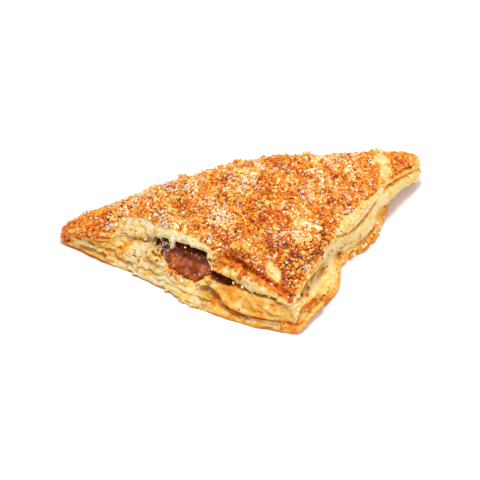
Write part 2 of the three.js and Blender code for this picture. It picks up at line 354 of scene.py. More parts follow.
def edges_of(faces):
    n = faces.shape[1]
    e = np.concatenate([faces[:, [i, (i + 1) % n]] for i in range(n)])
    e.sort(1)
    key = np.unique(e[:, 0].astype(np.int64) * 10_000_000 + e[:, 1])
    return np.stack([key // 10_000_000, key % 10_000_000], 1)


def largest_piece(verts, faces):
    e = edges_of(faces)
    lab = np.arange(len(verts))
    while True:
        m = np.minimum(lab[e[:, 0]], lab[e[:, 1]])
        new = lab.copy()
        np.minimum.at(new, lab[e[:, 0]], m)
        np.minimum.at(new, lab[e[:, 1]], m)
        new = new[new]
        while not (new == new[new]).all():
            new = new[new]
        if (new == lab).all():
            break
        lab = new
    best = np.bincount(lab).argmax()
    keep = lab == best
    renum = np.cumsum(keep) - 1
    faces = faces[keep[faces].all(1)]
    return verts[keep], renum[faces]


def relax(verts, e, steps, by=0.5):
    n = len(verts)
    deg = np.bincount(e[:, 0], minlength=n) + np.bincount(e[:, 1], minlength=n)
    for _ in range(steps):
        acc = np.zeros_like(verts)
        for m in range(verts.shape[1]):
            acc[:, m] = np.bincount(e[:, 0], verts[e[:, 1], m], n) + np.bincount(e[:, 1], verts[e[:, 0], m], n)
        verts = verts + by * (acc / np.maximum(deg, 1)[:, None] - verts)
    return verts


def normals_of(verts, faces):
    tri = faces if faces.shape[1] == 3 else np.concatenate([faces[:, [0, 1, 2]], faces[:, [0, 2, 3]]])
    a, b, c = verts[tri[:, 0]], verts[tri[:, 1]], verts[tri[:, 2]]
    fn = np.cross(b - a, c - a)
    n = np.zeros_like(verts)
    for i in range(3):
        for m in range(3):
            n[:, m] += np.bincount(tri[:, i], fn[:, m], len(verts))
    return n / np.maximum(np.linalg.norm(n, axis=1, keepdims=True), 1e-12)


# ================================================================= the dough
# Each cut side is drawn as ribs: at a share of its length, how far out the face stands at
# each height. Smooth curves run through the ribs.


def flow(xk, yk, x):
    """A smooth curve through knots that doesn't overshoot; yk may have many columns."""
    xk = np.asarray(xk, float)
    yk = np.asarray(yk, float).reshape(len(xk), -1)
    h = np.diff(xk)[:, None]
    d = np.diff(yk, axis=0) / h
    m = np.zeros_like(yk)
    w1, w2 = 2 * h[1:] + h[:-1], h[1:] + 2 * h[:-1]
    same = d[:-1] * d[1:] > 1e-12
    safe = lambda v: np.where(same, v, 1.0)
    m[1:-1] = np.where(same, (w1 + w2) / (w1 / safe(d[:-1]) + w2 / safe(d[1:])), 0)
    m[0], m[-1] = d[0], d[-1]
    x = np.clip(x, xk[0], xk[-1])
    i = np.clip(np.searchsorted(xk, x, side="right") - 1, 0, len(xk) - 2)
    t = ((x - xk[i]) / h[i, 0])[:, None]
    hh = h[i]
    return (2 * t**3 - 3 * t**2 + 1) * yk[i] + (t**3 - 2 * t**2 + t) * hh * m[i] + (3 * t**2 - 2 * t**3) * yk[i + 1] + (t**3 - t**2) * hh * m[i + 1]


LEFT_RIBS = [
    (0.00, [(0, 1.6), (3, 2.2), (7, 1.6), (10, -0.6)]),
    (0.08, [(0, 1.6), (1.5, 2.0), (4, 1.7), (7, 1.9), (9.5, 1.8), (11, 0.6)]),
    (0.14, [(0, 2.2), (1.5, 2.4), (4, 1.6), (7, 1.4), (9.6, 1.8), (11.4, 0.6)]),
    (0.19, [(0, 2.6), (1.5, 2.8), (4, 1.7), (7, 0.9), (10.2, 0.8), (12, -0.6)]),
    (0.225, [(0, 2.8), (1.5, 2.9), (4, 1.6), (7, 0.0), (9.8, -0.8), (12, -1.6), (16, -5.0)]),
    (0.25, [(0, 2.9), (2, 2.8), (4, 1.4), (7, -1.2), (8.6, -4.6), (10.4, -4.6), (14, -6.2), (19, -9.6)]),
    (0.29, [(0, 3.1), (2, 2.8), (5, 1.6), (8, -0.4), (10.0, -5.4), (11.3, -6.8), (12.4, -5.2), (16, -7.0), (20, -10.6)]),
    (0.34, [(0, 3.4), (2, 3.0), (5, 2.2), (9, 0.0), (11.2, -4.2), (12.6, -8.2), (13.8, -6.2), (17, -7.4), (20.6, -10.9)]),
    (0.375, [(0, 3.9), (2, 3.5), (5, 2.6), (9, 0.4), (11.6, -2.6), (13.2, -7.0), (14.4, -9.6), (15.6, -7.2), (18.4, -7.2), (21.6, -10.8)]),
    (0.40, [(0, 4.2), (2, 3.9), (5, 2.9), (8.4, 0.8), (10.4, -1.8), (12.0, -6.4), (13.6, -10.5), (15.6, -10.2), (17.0, -7.6), (19.4, -6.9), (22.0, -10.5)]),
    (0.43, [(0, 4.6), (2, 4.3), (5, 3.2), (8.4, 1.2), (10.0, -1.6), (11.4, -6.5), (13.0, -11), (16.6, -11), (18.0, -8.2), (19.4, -6.8), (20.9, -6.7), (22.6, -10.0)]),
    (0.46, [(0, 5.0), (2, 4.8), (5, 3.6), (7.6, 2.0), (9.2, 0.2), (10.6, -5.0), (12.5, -11), (17.2, -11), (18.4, -8.6), (19.6, -6.8), (21.2, -6.6), (22.9, -9.8)]),
    (0.50, [(0, 5.6), (2, 5.5), (5, 4.2), (7, 3.0), (8.8, 1.8), (10.2, -4.0), (12, -11), (17.3, -11), (18.6, -8.6), (19.8, -6.6), (21.4, -6.5), (23.0, -9.5)]),
    (0.55, [(0, 7.2), (2, 7.0), (4, 5.4), (6.4, 3.8), (8.2, 2.4), (9.8, -4.0), (12, -11), (17.2, -11), (18.6, -8.6), (19.8, -6.5), (21.3, -6.4), (22.8, -9.2)]),
    (0.60, [(0, 8.5), (2, 8.2), (4, 6.0), (6.4, 3.9), (8.6, 2.0), (10.4, -4.0), (12, -10), (16.4, -11), (17.8, -8.8), (19.0, -6.8), (20.7, -6.7), (22.0, -9.0)]),
    (0.635, [(0, 8.4), (2, 8.0), (4, 5.8), (6.4, 3.0), (8.6, 1.6), (10.6, -1.5), (12.5, -6.0), (14.6, -8.0), (16.0, -7.2), (18.4, -7.4), (20.9, -8.8)]),
    (0.66, [(0, 8.3), (2, 7.8), (4, 5.4), (6.4, 2.6), (8.2, 1.6), (9.8, -0.2), (11.4, -4.2), (12.8, -4.8), (14.2, -4.0), (15.8, -4.8), (17.4, -7.0), (19.0, -7.4), (20.6, -8.2)]),
    (0.685, [(0, 8.1), (2, 7.5), (4, 5.0), (6.0, 2.0), (8.0, 1.6), (9.8, 0.6), (11.2, -3.4), (12.6, -3.4), (13.8, -2.0), (16.0, -2.4), (17.4, -4.2), (18.6, -6.6), (20.4, -7.8)]),
    (0.72, [(0, 7.9), (2, 7.3), (3.6, 4.8), (5.4, 2.8), (7.0, 3.4), (8.6, 2.6), (10.6, 0.6), (12.2, -3.0), (13.9, -2.6), (14.8, -1.3), (16.6, -1.2), (18.2, -2.8), (19.2, -4.8), (20.4, -6.6)]),
    (0.77, [(0, 7.5), (2, 7.0), (3.4, 5.0), (4.8, 4.6), (6.8, 4.5), (9.0, 3.0), (11.3, 0.5), (12.8, -2.0), (13.7, -0.8), (16.8, -0.8), (18.6, -2.0), (19.5, -4.0), (20.3, -5.4)]),
    (0.82, [(0, 7.0), (2, 6.6), (3.4, 4.9), (4.8, 5.0), (7.0, 4.3), (9.6, 2.6), (11.8, 0.6), (13.0, -1.5), (13.8, -0.3), (16.4, -0.2), (18.6, -1.8), (19.8, -3.4)]),
    (0.88, [(0, 5.7), (2, 5.4), (3.4, 4.2), (5.4, 4.4), (7.6, 3.6), (10.2, 2.0), (12.4, 0.5), (13.3, -1.1), (14.1, 0.4), (16.0, 0.0), (17.8, -1.6), (18.8, -2.8)]),
    (0.94, [(0, 4.1), (2, 4.0), (3.8, 2.4), (5.6, 3.0), (8.0, 2.4), (11.2, 1.2), (12.6, -0.6), (13.6, 0.7), (15.6, 0.1), (17.2, -1.2), (18, -2)]),
    (1.00, [(0, 2.2), (2, 2.3), (3.8, 0.9), (8, 0.7), (12, 0.4), (15, 0.0), (17.4, -1.2)]),
]
RIGHT_RIBS = [
    (0.00, [(0, 2.2), (2, 2.3), (4, 0.8), (8, 0.3), (12, 0.0), (15, -0.4), (17.4, -1.6)]),
    (0.04, [(0, 2.4), (2.4, 2.7), (3.8, 2.1), (4.8, 0.6), (6.2, 0.9), (9, 0.0), (13, -0.4), (16, -0.6), (17.4, -1.8)]),
    (0.08, [(0, 2.8), (2.6, 3.2), (3.9, 2.7), (4.9, 0.9), (6.2, 1.5), (7.4, 0.4), (9.6, -2.2), (13, -2.2), (15.4, -0.9), (17.2, -2.0)]),
    (0.13, [(0, 3.3), (2.4, 3.6), (3.7, 3.0), (4.6, 1.4), (5.6, 2.4), (6.8, 1.4), (9.0, -3.6), (12.4, -5.0), (15.0, -1.8), (16.2, -1.3), (17.4, -2.2)]),
    (0.19, [(0, 4.3), (2.4, 4.4), (3.6, 3.6), (4.4, 2.6), (5.4, 3.0), (7.0, 1.2), (9.0, -4.2), (12.2, -5.8), (15.0, -2.6), (16.2, -1.8), (17.6, -2.4)]),
    (0.25, [(0, 4.5), (2.4, 4.4), (4.0, 3.6), (5.6, 2.6), (7.2, 0.4), (9.2, -4.4), (12.2, -5.6), (15.4, -2.8), (16.8, -2.2), (18.0, -3.0)]),
    (0.30, [(0, 3.2), (2.4, 3.2), (4.4, 2.2), (6.4, 0.4), (8.6, -3.0), (12, -5.2), (16.4, -3.2), (18.6, -3.6)]),
    (0.35, [(0, 0.2), (2.4, 0.4), (4.6, -0.6), (7.0, -2.6), (9.6, -5.0), (12.6, -5.8), (16, -4.2), (18, -3.8), (19.4, -4.8)]),
    (0.40, [(0, -2.4), (2.4, -2.2), (4.4, -3.2), (7.0, -4.6), (9.4, -5.4), (12, -5.0), (14.6, -3.4), (17.4, -2.6), (19.2, -3.8), (20.8, -6.0)]),
    (0.44, [(0, -2.6), (2.6, -2.0), (4.4, -2.4), (6.4, -3.4), (8.6, -2.8), (11, -3.6), (12.8, -4.6), (14.6, -2.6), (17.2, -1.8), (19.4, -3.4), (21.0, -6.2)]),
    (0.49, [(0, -0.4), (2.6, 0.2), (4.0, 0.0), (5.4, -1.4), (8.0, -0.4), (10.6, -0.8), (12.2, -2.6), (13.2, -4.6), (14.6, -2.0), (17.0, -1.6), (19.0, -3.4), (20.8, -6.2)]),
    (0.54, [(0, 2.0), (2.4, 2.3), (3.8, 1.8), (5.2, 0.0), (8.0, 0.7), (10.4, 0.3), (11.8, -1.8), (12.6, -3.6), (14.0, -1.6), (16.6, -1.6), (18.4, -3.4), (20.4, -6.0)]),
    (0.59, [(0, 2.4), (2.4, 2.6), (3.8, 2.1), (5.2, 0.6), (8.0, 0.9), (10.4, 0.2), (12.0, -1.8), (13.4, -1.6), (16.0, -1.7), (18.0, -3.4), (19.8, -5.6)]),
    (0.64, [(0, 2.0), (2.2, 2.0), (4.0, 1.2), (6.0, 0.2), (8.4, 0.0), (10.4, -1.2), (12.0, -1.4), (14.6, -1.0), (17.4, -2.4), (19.4, -4.6)]),
    (0.69, [(0, 1.0), (2.2, 1.0), (4.0, -0.2), (6.0, -1.4), (9.0, -1.8), (10.6, -1.0), (12.6, -0.2), (15.4, -0.6), (17.6, -1.8), (19.0, -3.4)]),
    (0.74, [(0, 0.0), (2.2, 0.0), (4.0, -1.2), (6.5, -2.2), (8.6, -1.6), (9.8, 0.2), (12.2, 0.8), (14.6, 0.2), (17.0, -1.4), (18.6, -2.8)]),
    (0.80, [(0, -1.6), (3.0, -1.4), (5.0, -2.6), (7.6, -2.4), (8.8, 0.0), (11.0, 1.1), (13.6, 0.7), (16.0, -0.8), (17.4, -2.2)]),
    (0.86, [(0, -2.0), (5.6, -2.2), (7.2, -1.4), (8.6, 0.8), (11.0, 1.7), (13.4, 1.0), (15.4, -0.6), (16.2, -1.4)]),
    (0.93, [(0, -0.5), (4.6, -0.2), (6.2, 1.2), (8.8, 2.2), (11.4, 1.9), (13.2, 0.7), (15, -0.8)]),
    (1.00, [(0, 1.2), (3.0, 1.4), (4.6, 2.2), (7.2, 2.8), (10.0, 2.6), (12.0, 1.4), (14, -0.4)]),
]
# where the top crust ends, out from each side, and the lower border of the flap's browned edge
CRUST_LEFT = [(0, 4), (0.21, 3.4), (0.226, -2), (0.24, -11.4), (0.285, -11.2), (0.34, -11.6), (0.38, -10.9), (0.42, -9.4), (0.473, -8.3), (0.54, -8.0), (0.59, -7.8), (0.64, -7.8), (0.69, -7.7), (0.742, -6.7), (0.837, -4.6), (0.937, -3.7), (0.982, -2.4), (1.02, 0)]
CRUST_RIGHT = [(0, -1.2), (0.072, -1.7), (0.10, -2.1), (0.175, -2.6), (0.233, -2.6), (0.30, -3.2), (0.354, -4.4), (0.414, -5.4), (0.503, -5.1), (0.593, -4.6), (0.643, -3.7), (0.70, -2.9), (0.786, -2.0), (0.857, -1.0), (0.93, 0.0), (1, 1.4)]
FLAP_RIM = [(0.66, -6.4), (0.70, -3.8), (0.734, -3.6), (0.768, -3.1), (0.812, -2.6), (0.865, -1.8), (0.921, -1.2), (0.963, -0.7), (1, 0)]
FLAP_GROOVE = [(0.66, 8.6), (0.70, 7.6), (0.745, 6.4), (0.83, 4.4), (0.93, 3.2), (0.985, 2.0)]  # how far in the groove behind the flap lies
SHARES = np.linspace(-0.04, 1.04, 433)


def face_of(ribs, zs):
    rows = np.stack([flow([z for z, _ in r], [o for _, o in r], zs)[:, 0] for _, r in ribs])
    return flow([s for s, _ in ribs], rows, SHARES).astype(F32)


rng = np.random.default_rng(20)
dough = Field((-88.4, -46.2, -1.2), (89.4, 49.0, 39.2), PITCH)
P = Place(dough.X, dough.Y)
o_l, o_r = -P.left, -P.right  # distance out from each cut side
zz = dough.zs[None, None, :].astype(F32)


def band(v, a, b, soft):
    return smooth(a - soft, a + soft, v) * (1 - smooth(b - soft, b + soft, v))


def sway(seed, size=0.4, step=12.0):
    return size * (rough2(dough.X, dough.Y, step, seed) + 0.45 * rough2(dough.X, dough.Y, step * 0.4, seed + 1))


def wall(inward, share, ribs, seed, amp):
    """Distance inside one cut side, at every point of the grid."""
    rows = face_of(ribs, dough.zs)
    steep = np.sqrt(1 + np.clip(np.gradient(rows, dough.h, axis=1), -2.2, 2.2) ** 2)
    u = np.clip((share - SHARES[0]) / (SHARES[1] - SHARES[0]), 0, len(SHARES) - 1.001)
    i = u.astype(np.int64)
    f = (u - i).astype(F32)[..., None]
    d = inward[..., None] + rows[i] * (1 - f) + rows[i + 1] * f
    for step, share_, sd in ((15.0, 0.9, 0), (5.5, 0.5, 1), (2.3, 0.22, 2)):
        d += (amp * share_ * rough1(share * LEG, step, seed * 7 + sd)).astype(F32)[..., None]
    return d / (steep[i] * (1 - f) + steep[i + 1] * f)


def crust_reach(g):
    """How far inside the top crust's outline a point lies."""
    a = g.left + curve(CRUST_LEFT, g.sl) + 0.5 * rough1(g.sl * LEG, 4.2, 71) + 0.3 * rough1(g.sl * LEG, 1.6, 72)
    b = g.right + curve(CRUST_RIGHT, g.sr) + 0.4 * rough1(g.sr * LEG, 4.2, 73) + 0.25 * rough1(g.sr * LEG, 1.6, 74)
    return a, b


lift, top = P.lift, P.top
in_l, in_r = crust_reach(P)
bare = (1 - smooth(-0.5, 0.4, in_l)) * smooth(0.228, 0.242, P.sl) * (1 - smooth(0.655, 0.69, P.sl)) * 1.5
bare = np.maximum(bare, (1 - smooth(-0.5, 0.4, in_r)) * smooth(0.32, 0.40, P.sr) * (1 - smooth(0.64, 0.74, P.sr)) * 0.9)
bare = bare + 4.2 * smooth(-78.5, -86.0, dough.X) - 1.4 * smooth(68, 79, dough.X) - 1.8 * smooth(76, 84, dough.X)  # the left tip is pressed down, the right one is blunt
skin_top = (top - bare).astype(F32)
a_ = wall(P.left, P.sl, LEFT_RIBS, 1, 0.45)
b_ = wall(P.right, P.sr, RIGHT_RIBS, 2, 0.45)
D = smin(a_, b_, 2.2)
near = np.minimum(a_, b_)
del a_, b_
# the fold at the back is closed, and rounder than the cut sides
c_ = (P.fold + P.bulge)[..., None] - 2.6 * (1 - smooth(0, 3.4, zz - lift[..., None])) ** 2 - 1.2 * smooth(5, 0, top[..., None] - zz)
c_ = c_ + 0.5 * rough1(dough.X + 0 * dough.Y, 9.0, 61)[..., None] * smooth(1, 6, zz)
D = smin(D, c_.astype(F32), P.round[..., None].astype(F32))
nub = 0.5 * np.sin(0.9 * zz + 0.6)  # both tips are blunt
D = smin(D, (84.9 - dough.X)[..., None].astype(F32) + nub, 2.2)
D = smin(D, (84.9 + dough.X)[..., None].astype(F32) - 0.6 * nub - 0.9 * smooth(4, 8, zz), 2.0)
del c_
dough.F = -D
dough.F = smax(dough.F, zz - skin_top[..., None], 1.1)
dough.F = smax(dough.F, lift[..., None].astype(F32) - zz, 1.0)

# leaf edges: shallow broken grooves that follow the sheets of dough
side_only = smooth(9.0, 3.0, np.minimum(near, 12)).astype(F32)
height = np.maximum(top - lift, 8.0)
for j, share_ in enumerate((0.10, 0.17, 0.235, 0.30, 0.36, 0.43, 0.495, 0.56, 0.63, 0.70, 0.775, 0.85)):
    level = lift + share_ * height + sway(100 + 3 * j, 0.9, 17.0) + sway(200 + 3 * j, 0.4, 6.0)
    deep = np.clip(rough2(dough.X, dough.Y, 7.5, 300 + j) * 1.1 + 0.55 * rough2(dough.X, dough.Y, 2.6, 330 + j) + 0.30, 0, 1)
    deep = deep * smooth(0.03, 0.13, P.sl) * (1 - 0.8 * smooth(0.95, 0.99, P.sr))
    if share_ > 0.2:
        deep = deep * (1 - 0.75 * smooth(0.68, 0.74, P.sl) * smooth(12, 7, P.left)) * (1 - 0.9 * smooth(0.60, 0.68, P.sr) * smooth(14, 9, P.right))
        deep = deep * (1 - 0.8 * band(P.sr, 0.07, 0.33, 0.03) * smooth(12, 8, P.right)) * (1 - 0.7 * band(P.sr, 0.36, 0.62, 0.03) * smooth(12, 8, P.right) * (share_ > 0.5))
    k0 = max(np.searchsorted(dough.zs, float(level.min()) - 1.2), 0)
    k1 = np.searchsorted(dough.zs, float(level.max()) + 1.2)
    g = np.exp(-(((zz[..., k0:k1] - level[..., None]) / 0.42) ** 2)).astype(F32)
    dough.F[:, :, k0:k1] += 1.15 * side_only[:, :, k0:k1] * g * deep[..., None].astype(F32)
del g

# the smooth raised lip over the mouth
dough.rope([on_left(.375, -8.2, 17.4), on_left(.41, -8.3, 19.0), on_left(.47, -8.6, 20.6), on_left(.53, -8.5, 21.0),
            on_left(.585, -8.6, 20.3), on_left(.615, -8.8, 19.2)], [1.5, 2.0, 2.3, 2.4, 2.0, 1.4], k=1.6)
# right side: thick pale bulge under the crust, a lump beneath it, a slit between
dough.rope([on_right(.385, -5.8, 19.0), on_right(.43, -4.6, 19.0), on_right(.50, -4.2, 18.2), on_right(.57, -3.9, 17.6), on_right(.64, -3.4, 17.4), on_right(.72, -2.6, 17.2)],
           [1.6, 2.3, 2.5, 2.3, 1.8, 1.2], k=1.6)
dough.rope([on_right(.43, -4.0, 13.6), on_right(.48, -3.2, 12.4), on_right(.54, -2.5, 11.4), on_right(.60, -2.3, 11.8), on_right(.635, -2.6, 12.6)],
           [1.8, 2.8, 3.2, 2.8, 1.6], k=1.4)
dough.rope([on_right(.375, -2.8, 18.0), on_right(.438, -1.3, 16.4), on_right(.50, -1.2, 15.2), on_right(.545, -1.3, 14.3), on_right(.60, -1.2, 14.9), on_right(.66, -1.4, 15.7)],
           [0.5, 0.6, 0.65, 0.6, 0.5, 0.4], k=0.6, cut=True, deep=(OUT_R, 2.6))
dough.rope([on_right(.44, -2.6, 16.4), on_right(.495, -2.4, 15.2)], [0.6, 0.5], k=0.3, cut=True, deep=(OUT_R, 5.0))
for s, o, z, a in ((.118, -2.2, 8.8, 1.2), (.153, 2.4, 6.6, 1.0), (.004, 1.8, 4.2, .8), (.24, 2.2, 4.6, .6), (.60, 1.2, 5.2, .7), (.41, -4.2, 5.6, .8)):
    dough.blob(on_right(s, o, z), (ALONG_R, OUT_R, UP), (a * 1.7, a * 2.2, a), k=0.5, cut=True)
# thin folded leaves in the hollow near the front corner
dough.rope([on_right(.012, 0.6, 5.0), on_right(.030, 0.3, 8.0), on_right(.046, -0.6, 11.6), on_right(.064, -1.4, 16.0)], [0.8, 0.9, 0.9, 0.8], k=1.0)
dough.rope([on_right(.150, 1.0, 6.0), on_right(.160, -1.6, 8.6), on_right(.172, -4.0, 10.8)], [0.6, 0.6, 0.5], k=1.6)
dough.rope([on_right(.255, 0.6, 6.6), on_right(.265, -2.4, 9.0)], [0.6, 0.5], k=1.6)
for s0, z0, s1, z1, o0, o1 in ((.085, 7.6, .20, 12.6, -1.2, -4.6), (.10, 6.9, .235, 10.4, -0.6, -4.4), (.20, 14.2, .31, 9.2, -3.6, -3.4), (.225, 7.0, .33, 7.8, -1.0, -3.0)):
    m_ = on_right((s0 + s1) / 2, (o0 + o1) / 2 - 0.5, (z0 + z1) / 2 - 0.5)
    dough.rope([on_right(s0, o0, z0), m_, on_right(s1, o1, z1)], [0.7, 0.6, 0.5], k=1.5)
for s0, z0, s1, z1, o0, o1 in ((.11, 8.3, .19, 11.4, -2.4, -5.2), (.215, 12.4, .30, 8.6, -4.4, -3.6)):
    dough.rope([on_right(s0, o0, z0), on_right((s0 + s1) / 2, (o0 + o1) / 2, (z0 + z1) / 2 - 0.4), on_right(s1, o1, z1)], [0.45, 0.55, 0.4], k=0.7, cut=True)
# the rim of the lowest leaf is rolled up round a crescent groove
dough.rope([on_right(-.005, 2.4, 2.6), on_right(.03, 3.2, 3.4), on_right(.06, 3.6, 4.2), on_right(.10, 4.0, 4.6), on_right(.15, 4.4, 4.6), on_right(.19, 4.3, 4.2)],
           [1.0, 1.1, 1.1, 1.0, 1.0, 0.8], k=1.0)
dough.rope([on_right(.020, 1.9, 4.4), on_right(.042, 1.9, 6.0), on_right(.068, 2.0, 6.9), on_right(.100, 2.2, 6.5), on_right(.135, 2.8, 5.9)], [0.7, 1.15, 1.1, 0.8, 0.45],
           k=0.35, cut=True, deep=(OUT_R, 1.9))
# right tip: the crust folds down over the edge, with a groove beneath it
dough.rope([on_right(.735, -3.2, 18.7), on_right(.83, -1.8, 17.0), on_right(.93, 0.1, 14.4), on_right(.965, 0.6, 13.6)], [0.8, 0.9, 0.9, 0.6], k=0.9)
dough.rope([np.array([72.0, 40.8, 17.4]), np.array([78.6, 40.6, 16.6]), np.array([82.0, 40.1, 15.0])], [1.8, 2.5, 2.3], k=2.2)
dough.rope([on_right(.735, -1.9, 17.4), on_right(.83, -0.5, 15.5), on_right(.915, 1.0, 13.3), on_right(.95, 1.6, 12.4)], [0.45, 0.5, 0.4, 0.2], k=0.4, cut=True, deep=(OUT_R, 2.4))

# left tip: a small curled blister in the cut face, with a hollow in it
dough.rope([on_left(.212, 1.7, 5.4), on_left(.226, 2.0, 4.4), on_left(.230, 2.2, 3.0), on_left(.215, 2.2, 1.9), on_left(.19, 2.2, 1.6)],
           [0.4, 0.6, 0.6, 0.55, 0.4], k=1.2)
dough.blob(on_left(.203, 1.8, 3.7), (ALONG_L, OUT_L, UP), (2.1, 1.6, 1.0), k=0.4, cut=True)
for s, z, w, h in ((.165, 3.9, 1.3, .7), (.140, 3.7, 1.1, .6), (.115, 3.5, 0.9, .5), (.15, 6.4, 2.8, .4), (.185, 7.8, 2.4, .4), (.10, 6.8, 2.2, .35)):
    dough.blob(on_left(s, 1.9, z), (ALONG_L, OUT_L, UP), (w, 1.6, h), k=0.3, cut=True)

# pocket for the filling, open at the mouth
def pocket(g, grow):
    gate = band(g.sl, 0.365, 0.655, 0.03)
    lid_ = g.top - 7.5
    out = smooth(18, 7, g.left) * gate
    face = np.maximum(9.4, 16.0 - 0.62 * np.maximum(0, 9 - g.left))
    tp = lid_ + (np.minimum(lid_, face) - lid_) * out
    bt = np.minimum(9.1 - 2.5 * smooth(7, 0, g.left) * gate, g.top - 9.0)
    return g.outline(shifted(TONGUE, grow), [(0, -16 + grow), (1, -16 + grow)], -13 + grow), bt, tp, gate


D, bt, tp, gate = pocket(P, 0.5)
room = Field(dough.lo, (89.4, 49.0, 39.2), PITCH)
room.leaf(D, bt - 0.2, tp + 0.4 + 1.6 * smooth(20, 8, P.left) * gate, r=1.8)
dough.F = smax(dough.F, -room.F, 0.6)
del room

# hanging drip, and threads of dough at the left of the mouth
dough.rope([on_left(.474, -6.4, 19.2), on_left(.472, -5.8, 17.4), on_left(.470, -5.3, 15.6)], [1.2, 0.9, 0.55], k=0.5)
dough.rope([on_left(.462, -6.6, 19.0), on_left(.458, -6.2, 17.3)], [0.8, 0.45], k=0.5)
for i in range(1):
    s = rng.uniform(.375, .395)
    lean = rng.uniform(.0, .035)
    z0 = 15.2 + 22 * (s - .395) - rng.uniform(0, .6)
    z1 = float(np.interp(s + lean, (.38, .40, .43, .46, .50), (12.0, 10.8, 10.0, 9.2, 8.6)))
    bow = rng.uniform(-1.2, 1.0)
    dough.rope([on_left(s, -7.6, z0 + 1), on_left(s + lean * .4, -4.4 + bow, (z0 + z1) / 2 + 1), on_left(s + lean, float(np.interp(s + lean, (.40, .46, .50), (-1.2, .2, 1.6))), z1 - .4)],
               [rng.uniform(.45, .6), rng.uniform(.36, .46), rng.uniform(.45, .7)], k=0.7)
dough.rope([on_left(.285, -4.2, 10.9), on_left(.33, -5.0, 12.2), on_left(.37, -5.4, 13.5), on_left(.40, -6.4, 14.6), on_left(.44, -7.4, 15.2)], [0.5, 0.8, 0.95, 1.2, 1.3],
           k=0.5, cut=True, deep=(OUT_L, 3.0))
# torn dough between the lip and the flap
for i in range(9):
    s = rng.uniform(.615, .675)
    p0 = on_left(s, rng.uniform(-8.5, -6.0), rng.uniform(16.5, 19.5))
    p1 = on_left(s + rng.uniform(-.01, .03), rng.uniform(-6.0, -3.5), rng.uniform(14.0, 17.0))
    dough.rope([p0, (p0 + p1) / 2 + rng.normal(0, .5, 3), p1], [rng.uniform(.5, .9), rng.uniform(.42, .6), rng.uniform(.45, .7)], k=0.8)

# the hollow under the flap's end, which tapers to a slit
dough.rope([on_left(.650, -0.6, 9.4), on_left(.675, 0.3, 9.6), on_left(.705, 0.7, 9.9), on_left(.735, 0.5, 10.9), on_left(.77, 0.4, 11.4)], [0.7, 0.9, 1.0, 0.8, 0.5], k=1.0)
dough.blob(on_left(.699, -3.6, 12.6), (ALONG_L, OUT_L, UP), (6.4, 7.8, 2.5), k=0.25, cut=True)
dough.rope([on_left(.735, -1.6, 12.9), on_left(.775, -1.0, 12.8), on_left(.82, -0.8, 12.9), on_left(.86, -0.4, 13.4), on_left(.89, -0.2, 13.4), on_left(.925, 0.0, 13.5), on_left(.955, 0.2, 12.2)],
           [1.0, 0.8, 0.7, 0.7, 0.62, 0.6, 0.45], k=0.3, cut=True, deep=(OUT_L, 4.0))
# the flap's end is rolled
dough.rope([on_left(.652, -5.0, 14.0), on_left(.664, -3.4, 15.0), on_left(.690, -2.2, 15.8), on_left(.73, -1.7, 15.6)], [0.7, 1.0, 1.1, 0.9], k=0.9)
dough.rope([on_left(.83, 0.2, 13.2), on_left(.845, 0.6, 12.2), on_left(.85, 0.9, 11.6)], [0.5, 0.45, 0.42], k=0.5)
# groove between flap and top crust
dough.rope([on_left(.70, -7.6, 20.4), on_left(.745, -6.4, 20.6), on_left(.83, -4.4, 19.9), on_left(.93, -3.2, 18.6), on_left(.975, -2.2, 17.9)],
           [0.9, 1.05, 0.95, 0.8, 0.5], k=0.4, cut=True, deep=(UP, 2.2))
# the flap's browned upper edge stands up beside the groove
dough.rope([on_left(.69, -5.6, 19.6), on_left(.745, -4.6, 19.6), on_left(.83, -2.9, 18.6), on_left(.90, -2.0, 17.5), on_left(.95, -1.2, 16.8)], [0.9, 1.0, 1.0, 0.9, 0.6], k=0.8)
# a crease down the crust
dough.rope([np.array([25.4, 3.6, 26.4]), np.array([24.0, -3.0, 24.9]), np.array([22.8, -8.0, 23.6]), np.array([21.0, -13.6, 21.9])], [0.4, 0.75, 0.7, 0.4], k=0.8, cut=True, deep=(UP, 1.3))
# holes and dimples in the lower leaves
for s, o, z, w, h in ((.401, 0.4, 9.6, 1.7, 1.35), (.372, 0.4, 10.2, 1.4, .8), (.36, 1.2, 7.8, 1.2, .7), (.335, 1.4, 7.4, 1.5, .6), (.43, 2.4, 6.2, 1.6, .6),
                      (.640, 3.0, 6.0, 1.6, .9), (.29, 1.6, 6.2, 1.5, .6), (.27, 1.6, 4.2, 1.8, .5)):
    dough.blob(on_left(s, o, z), (ALONG_L, OUT_L, UP), (w, 1.9, h), k=0.5, cut=True)
# rings of thin dough round the large hole
for r_, w in ((2.3, .42),):
    ring = [on_left(.401 + r_ * math.cos(t) / LEG, 0.9 - 0.25 * (9.6 + r_ * .8 * math.sin(t) - 9.6), 9.6 + r_ * .8 * math.sin(t)) for t in np.linspace(0.6, 5.2, 12)]
    dough.rope(ring, [w] * 12, k=0.8)
# the cave behind the hanging leaf
dough.blob(on_left(.680, 2.7, 6.6), (ALONG_L, OUT_L, UP), (5.4, 5.6, 2.5), k=0.35, cut=True)
